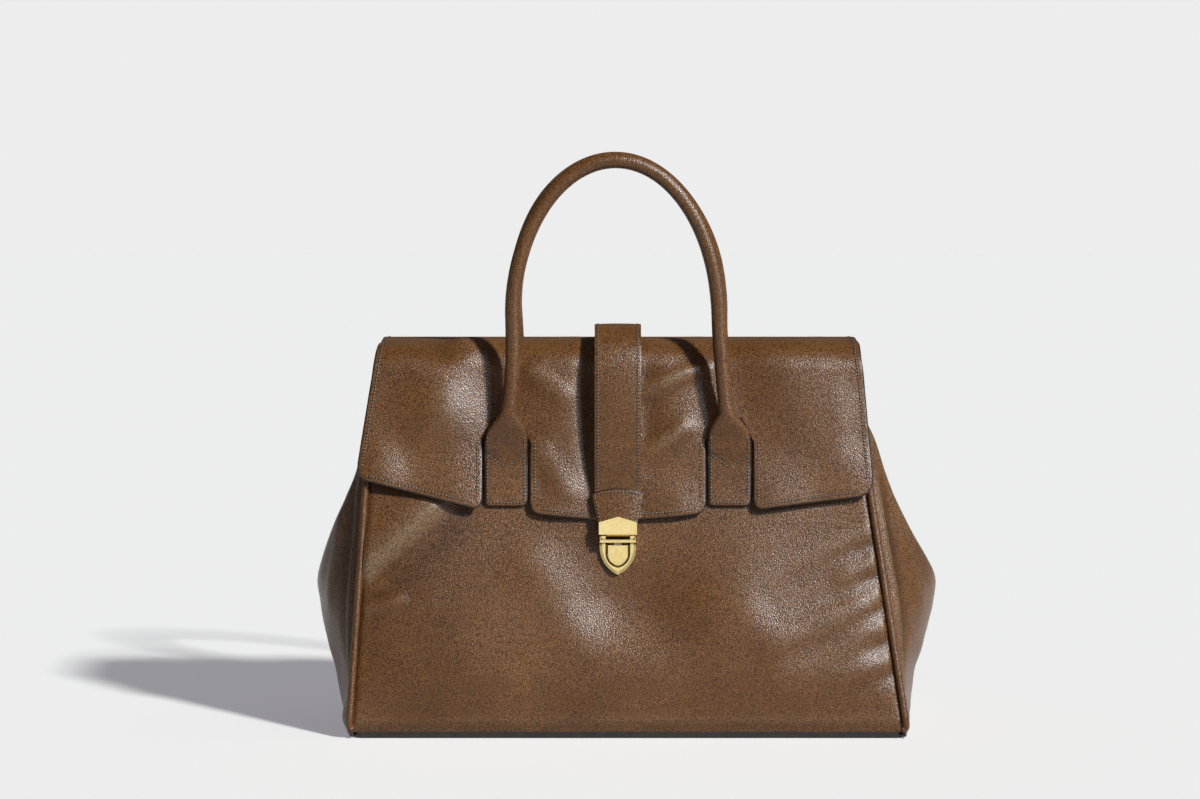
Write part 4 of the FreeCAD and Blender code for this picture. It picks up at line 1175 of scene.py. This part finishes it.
def chape():
    """Leather tip that takes the lock plate."""
    top, shoulder, low = SLOPE - 93.0, SLOPE - 98.5, SLOPE - 117.0
    top_half, wide_half, low_half = 17.9, 18.0, 14.0

    def arc(q):
        return shoulder + (top - shoulder) * np.sqrt(1 - (q * 0.96) ** 2)

    share, part = np.meshgrid(np.linspace(-1, 1, 25), np.linspace(0, 1, 24))
    v = arc(share) + (low - arc(share)) * part
    half = np.interp(-v, [-top, -shoulder, -low], [top_half, wide_half, low_half])
    leather_piece("strap_chape_skin", chape_point(share * half, v), 2.0, 0.8, "strap", "strap_chape")
    q = np.linspace(-0.86, 0.86, 60)
    lines = [with_normals(chape_point, q * top_half, arc(q) - STITCH_INSET)]
    side_v = np.linspace(shoulder - 1.5, low + 2, 30)
    side_x = np.interp(-side_v, [-shoulder, -low], [wide_half, low_half]) - STITCH_INSET
    lines += [with_normals(chape_point, sign * side_x, side_v) for sign in (-1, 1)]
    sewn("chape_stitches", lines, rides("strap"))


chape()


def strap_anchor():
    """Strap end sewn flat on the back panel."""
    high_n = 6.4
    low, high = SLOPE - 62.0, up_panel(270.2, high_n)

    def place(x, v):
        n = high_n - 1.6 * (1 - ease((v - low) / 30)) - 0.4 * (x / STRAP_HALF) ** 2
        return on_panel(x, v, n, 1)

    grid = place(*np.meshgrid(np.linspace(-STRAP_HALF, STRAP_HALF, 15), np.linspace(low, high, 50)))
    leather_piece("strap_anchor_skin", grid, STRAP_LEATHER, 0.6, "bag_body", "strap_anchor")
    lines = side_rows(place, np.linspace(low + STITCH_INSET, high - 2, 60))
    side = STRAP_HALF - STITCH_INSET
    cross = np.linspace(-side, side, 30)
    lines.append(with_normals(place, cross, np.full_like(cross, low + STITCH_INSET)))
    sewn("strap_anchor_stitches", lines, rides("bag_body"))


strap_anchor()


# Handles: flat tab, flare and rolled tube as one skin

def arch_spots(step=2.0):
    """Right half of the tube's centre line from the neck to the top, as x and z."""
    spring_z = HANDLE_TOP_Z - HANDLE_ARCH
    leg_z = np.arange(NECK_Z, spring_z, step)
    leg_x = HANDLE_HALF + (HANDLE_FOOT - HANDLE_HALF) * ((spring_z - leg_z) / (spring_z - NECK_Z)) ** 2
    turn = np.linspace(0, math.pi / 2, 76)
    x = np.concatenate([leg_x, HANDLE_HALF * np.cos(turn)])
    z = np.concatenate([leg_z, spring_z + HANDLE_ARCH * np.sin(turn)])
    return x, z


FLARE_Z = [TAB_BOTTOM, 182, 190, 197, 204, 210, 216, NECK_Z]
FLARE_HALF = [TAB_HALF, TAB_HALF, TAB_HALF, TAB_HALF + 0.1, TAB_HALF, 13.7, 10.6, TUBE_RADIUS + 0.6]
FLARE_THICK = [1.6, 1.6, 1.8, 2.4, 3.1, 4.1, 5.2, TUBE_RADIUS]
FLARE_X = [NOTCH_X, NOTCH_X, NOTCH_X, NOTCH_X, NOTCH_X - 0.2, NOTCH_X - 0.6, NOTCH_X - 1.2, HANDLE_FOOT]
FLARE_SQUARE = [7, 7, 6.5, 5, 4, 3, 2.4, 2]
FLARE_OUT = [half_depth(TAB_BOTTOM) + 1.9, half_depth(182.0) + 1.9, half_depth(190.0) + 2.4, PIVOT_Y + 0.6,
             61.9, 63.5, 65.3, TUBE_PLANE]


def flare(z):
    """Half width, half thickness, squareness, x and distance from the middle plane of a handle's end."""
    tables = (FLARE_HALF, FLARE_THICK, FLARE_X, FLARE_OUT)
    half, thick, middle, out = (spline(z, FLARE_Z, values) for values in tables)
    return half, thick, np.interp(z, FLARE_Z, FLARE_SQUARE), middle, out


def ring_points(half, thick, square, count):
    """Evenly spaced points round a rounded section, starting at its outer side."""
    turn = np.linspace(0, 2 * math.pi, 720, endpoint=False)
    a = half * np.sign(np.cos(turn)) * np.abs(np.cos(turn)) ** (2 / square)
    b = thick * np.sign(np.sin(turn)) * np.abs(np.sin(turn)) ** (2 / square)
    return evenly_round(a, b, count)


def seam_rise(x, z):
    """The rolled leather ends in a pointed seam on the tab, a little proud of it."""
    point = SEAM_POINT_Z + np.abs(x) * SEAM_SLANT
    return 0.7 * ease((z - point + 0.6) / 1.6) * ease((209 - z) / 14)


def tube_rings(side, drift, spread, dip, radius, collar, count):
    """Rings round the handle's line from one neck over the top to the other."""
    arch_x, arch_z = arch_spots()
    z = np.concatenate([arch_z, arch_z[-2::-1]])
    x = np.concatenate([arch_x, -arch_x[-2::-1]]) * (1 + spread * ease((z - 235) / 60))
    x = x + drift * ease((z - 215) / 70) * (1 - ease((z - 320) / 60)) - 1.6 * ease((z - 240) / 70)
    swell = collar * ease((NECK_Z + 12 - z) / 12)
    z = z - dip * ease((z - 300) / 90)
    turn_x, turn_z = np.gradient(x), np.gradient(z)
    long = np.hypot(turn_x, turn_z)
    rings = []
    for i in range(len(x)):
        a, b = ring_points(radius + swell[i], radius, 2, count)
        rings.append(points_at(x[i] + a * turn_z[i] / long[i], side * (TUBE_PLANE + b),
                               z[i] - a * turn_x[i] / long[i]))
    return rings


def handle_rope(prefix, side, bend):
    """Filler rope inside the rolled leather."""
    count = 20
    rings = tube_rings(side, *bend, ROPE_RADIUS, 0.0, count)
    faces = ring_faces(len(rings), count) + ring_ends(len(rings), count)
    rope = mesh_piece(prefix + "_handle_rope", np.concatenate(rings), faces, [core_rope])
    face_outwards(rope)
    dress(settled(rope), prefix + "_handle", "core_rope", prefix + "_handle_core")


def handle(prefix, side, bend):
    """Rolled handle on one side of the bag. Bend gives its drift, spread and dip."""
    handle_rope(prefix, side, bend)
    count = 56
    tab_z = np.concatenate([TAB_BOTTOM + np.array([0, 0.5, 1.2, 2.1, 3.1, 4.2]),
                            np.arange(165.5, NECK_Z - 1, 1.5)])
    half, thick, square, leg_x, leg_y = flare(tab_z)
    half -= rounded_corner(tab_z - TAB_BOTTOM, TAB_CORNER)
    thick[0] *= 0.72
    legs = {1: [], -1: []}
    for sign, leg in legs.items():
        for i, z in enumerate(tab_z):
            a, b = ring_points(half[i], thick[i], square[i], count)
            b = b + seam_rise(a, z) * np.clip(b / max(thick[i], 0.1), 0, 1)
            leg.append(points_at(sign * (leg_x[i] + a), side * (leg_y[i] + b), z))
    rows = legs[1] + tube_rings(side, *bend, TUBE_RADIUS, 0.6, count) + legs[-1][::-1]
    edge_ring = {k % count for middle in (0, count // 2) for k in range(middle - 2, middle + 2)}
    indices = []
    for i in range(len(rows) - 1):
        z = rows[i][:, 2].mean()
        low = z < TAB_EDGE_TOP and (i < len(tab_z) or i > len(rows) - len(tab_z) - 1)
        indices += [1 if low and (k in edge_ring or z < TAB_BOTTOM + 0.4) else 0 for k in range(count)]
    faces = ring_faces(len(rows), count) + ring_ends(len(rows), count)
    indices += [1, 1]
    skin = mesh_piece(prefix + "_handle_skin", np.concatenate(rows), faces, [brown, dark_edge_and_sole_shade], indices)
    face_outwards(skin)
    settled(skin)
    follow = bends()
    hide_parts(prefix + "_handle_cover", prefix + "_left_tab", prefix + "_right_tab")

    def front_face(x, z):
        wide, deep, power, middle, out = flare(z)
        off = np.clip(np.abs(np.abs(x) - middle) / wide, 0, 0.999)
        out = out + deep * (1 - off ** power) ** (1 / power) + seam_rise(np.abs(x) - middle, z)
        return points_at(x, side * out, z)

    inset = TAB_HALF - STITCH_INSET
    foot = TAB_BOTTOM + STITCH_INSET
    radius = 2.2
    turn = np.linspace(0, math.pi / 2, 8)
    right_x = np.concatenate([np.full(30, inset), inset - radius * (1 - np.cos(turn))])
    right_z = np.concatenate([np.linspace(206, foot + radius, 30), foot + radius * (1 - np.sin(turn))])
    x = np.concatenate([right_x, np.linspace(inset - 3, 3 - inset, 24), -right_x[::-1]])
    z = np.concatenate([right_z, np.full(24, foot), right_z[::-1]])
    wing = np.linspace(-11.5, 11.5, 40)
    wing_z = SEAM_POINT_Z - 1.3 + np.abs(wing) * SEAM_SLANT
    lines = []
    for sign in (1, -1):
        lines.append(with_normals(front_face, sign * NOTCH_X + x, z))
        lines.append(with_normals(front_face, sign * NOTCH_X + wing, wing_z))
    sewn(prefix + "_handle_stitches", lines, follow)
    follow(skin)


handle("front", -1, (0.0, 0.0, 0.0))
handle("rear", 1, (1.4, 0.04, 1.2))


# Solids that stay, with their finishes

def finish_node(node, material):
    """Give a solid its material."""
    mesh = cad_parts[node].data
    mesh.materials.clear()
    mesh.materials.append(material)


for solid_name in ("lock_plate", "lock_case", "lock_button", "lock_rivets", "lock_back_plate"):
    finish_node(solid_name, gold)
finish_node("catch_spring", spring_steel)
finish_node("base_board", board_fibre)


# Floor, light and camera

FLOOR_PALE = (0.857, 0.866, 0.820)
FLOOR_LIFT = (0.205, 0.200, 0.232)


def seen_ray(tree):
    """1 for rays that show the surround to the camera, in metal or through glass."""
    path = tree.nodes.new("ShaderNodeLightPath").outputs
    value = path["Is Camera Ray"]
    for name in ("Is Transmission Ray", "Is Glossy Ray"):
        value = result_of(tree, "ShaderNodeMath", "Value", {0: value, 1: path[name]}, operation="MAXIMUM")
    return value


def floor():
    """Pale seamless floor that keeps the shadow and throws little light back up."""
    item, tree, shader, place = new_material("pale_floor", 0.9)
    colour = ramp_node(tree, noise_node(tree, place, 3.0), 0.3, 0.7, [0.240] * 3, [0.246] * 3)
    feed(tree, shader, {"Specular IOR Level": 0.0, "Base Color": colour})
    pale = result_of(tree, "ShaderNodeBsdfDiffuse", "BSDF", {"Color": (*FLOOR_PALE, 1)})
    lift = result_of(tree, "ShaderNodeEmission", "Emission", {"Color": (*FLOOR_LIFT, 1)})
    both = result_of(tree, "ShaderNodeAddShader", "Shader", {0: pale, 1: lift})
    surface = mixed_shaders(tree, seen_ray(tree), shader.outputs["BSDF"], both)
    feed(tree, tree.nodes["Material Output"], {"Surface": surface})
    half = 9000.0
    points = [(-half, -half, 0), (half, -half, 0), (half, half, 0), (-half, half, 0)]
    mesh_piece("floor", points, [(0, 1, 2, 3)], [item])


floor()


def world_light():
    """Even studio surround that the camera sees as the pale background and the metal as a darker room."""
    world = bpy.data.worlds.new("studio")
    bpy.context.scene.world = world
    world.use_nodes = True
    tree = world.node_tree
    fill = tree.nodes["Background"]
    feed(tree, fill, {"Color": (0.95, 0.97, 1.0, 1), "Strength": 0.10})
    pale = result_of(tree, "ShaderNodeBackground", "Background", {"Color": (0.847, 0.847, 0.847, 1)})
    outward = result_of(tree, "ShaderNodeTexCoord", "Generated")
    behind = result_of(tree, "ShaderNodeSeparateXYZ", "Y", {"Vector": outward})
    backdrop = ramp_node(tree, range_node(tree, behind, 0.8, 1.0, 0.0, 1.0), 0.0, 1.0,
                         (0.07, 0.07, 0.072), (0.24, 0.24, 0.24))
    mirrored = result_of(tree, "ShaderNodeBackground", "Background", {"Color": backdrop})
    glossy = result_of(tree, "ShaderNodeLightPath", "Is Glossy Ray")
    shown = mixed_shaders(tree, glossy, pale, mirrored)
    surface = mixed_shaders(tree, seen_ray(tree), fill.outputs["Background"], shown)
    feed(tree, tree.nodes["World Output"], {"Surface": surface})


world_light()


def aim(item, direction):
    """Turn a lamp or camera to look along a direction."""
    item.rotation_euler = Vector(direction).to_track_quat("-Z", "Y").to_euler()


def lamp(name, kind, power, direction, place=(0, 0, 2), diffuse=True, glossy=True, **sizes):
    """Lamp that shines along a direction, on the diffuse or the glossy side of a surface or both."""
    light = adjusted(bpy.data.lights.new(name, kind), energy=power, **sizes)
    item = adjusted(in_scene(name, light), location=place, visible_diffuse=diffuse, visible_glossy=glossy,
                    visible_camera=False)
    aim(item, direction)


lamp("key_sun", "SUN", 3.45, (-1.0, 1.2, -1.08), angle=math.radians(5.0))
lamp("back_fill", "SUN", 1.6, (0.25, -1.0, -0.05), glossy=False, use_shadow=False)
lamp("front_card", "AREA", 1.5, (0, 2.5, -0.46), (0.05, -2.6, 0.6), diffuse=False,
     shape="RECTANGLE", size=1.0, size_y=0.5)
lamp("right_softbox", "AREA", 66, (-1.0, 1.3, -0.9), (1.55, -2.1, 1.55), diffuse=False,
     shape="RECTANGLE", size=0.9, size_y=1.0, color=(0.86, 0.93, 1.0))

PHOTO_WIDTH = 1200
SCALE = 0.685
SENSOR_WIDTH = 36.0
CAMERA_RISE = math.radians(4.0)
CAMERA_DISTANCE = 3.0
FRONT_PLANE = -0.075
VIEW_X = -0.0123
VIEW_Z = 0.2333

lens = SENSOR_WIDTH * CAMERA_DISTANCE / (PHOTO_WIDTH * SCALE * MM)
camera = adjusted(bpy.data.cameras.new("camera"), sensor_width=SENSOR_WIDTH, lens=lens, clip_end=50)
viewer = in_scene("camera", camera)
look = (0.0, math.cos(CAMERA_RISE), -math.sin(CAMERA_RISE))
viewer.location = (VIEW_X, FRONT_PLANE - CAMERA_DISTANCE * look[1], VIEW_Z - CAMERA_DISTANCE * look[2])
aim(viewer, look)
bpy.context.scene.camera = viewer
bpy.context.scene.view_settings.view_transform = "Standard"
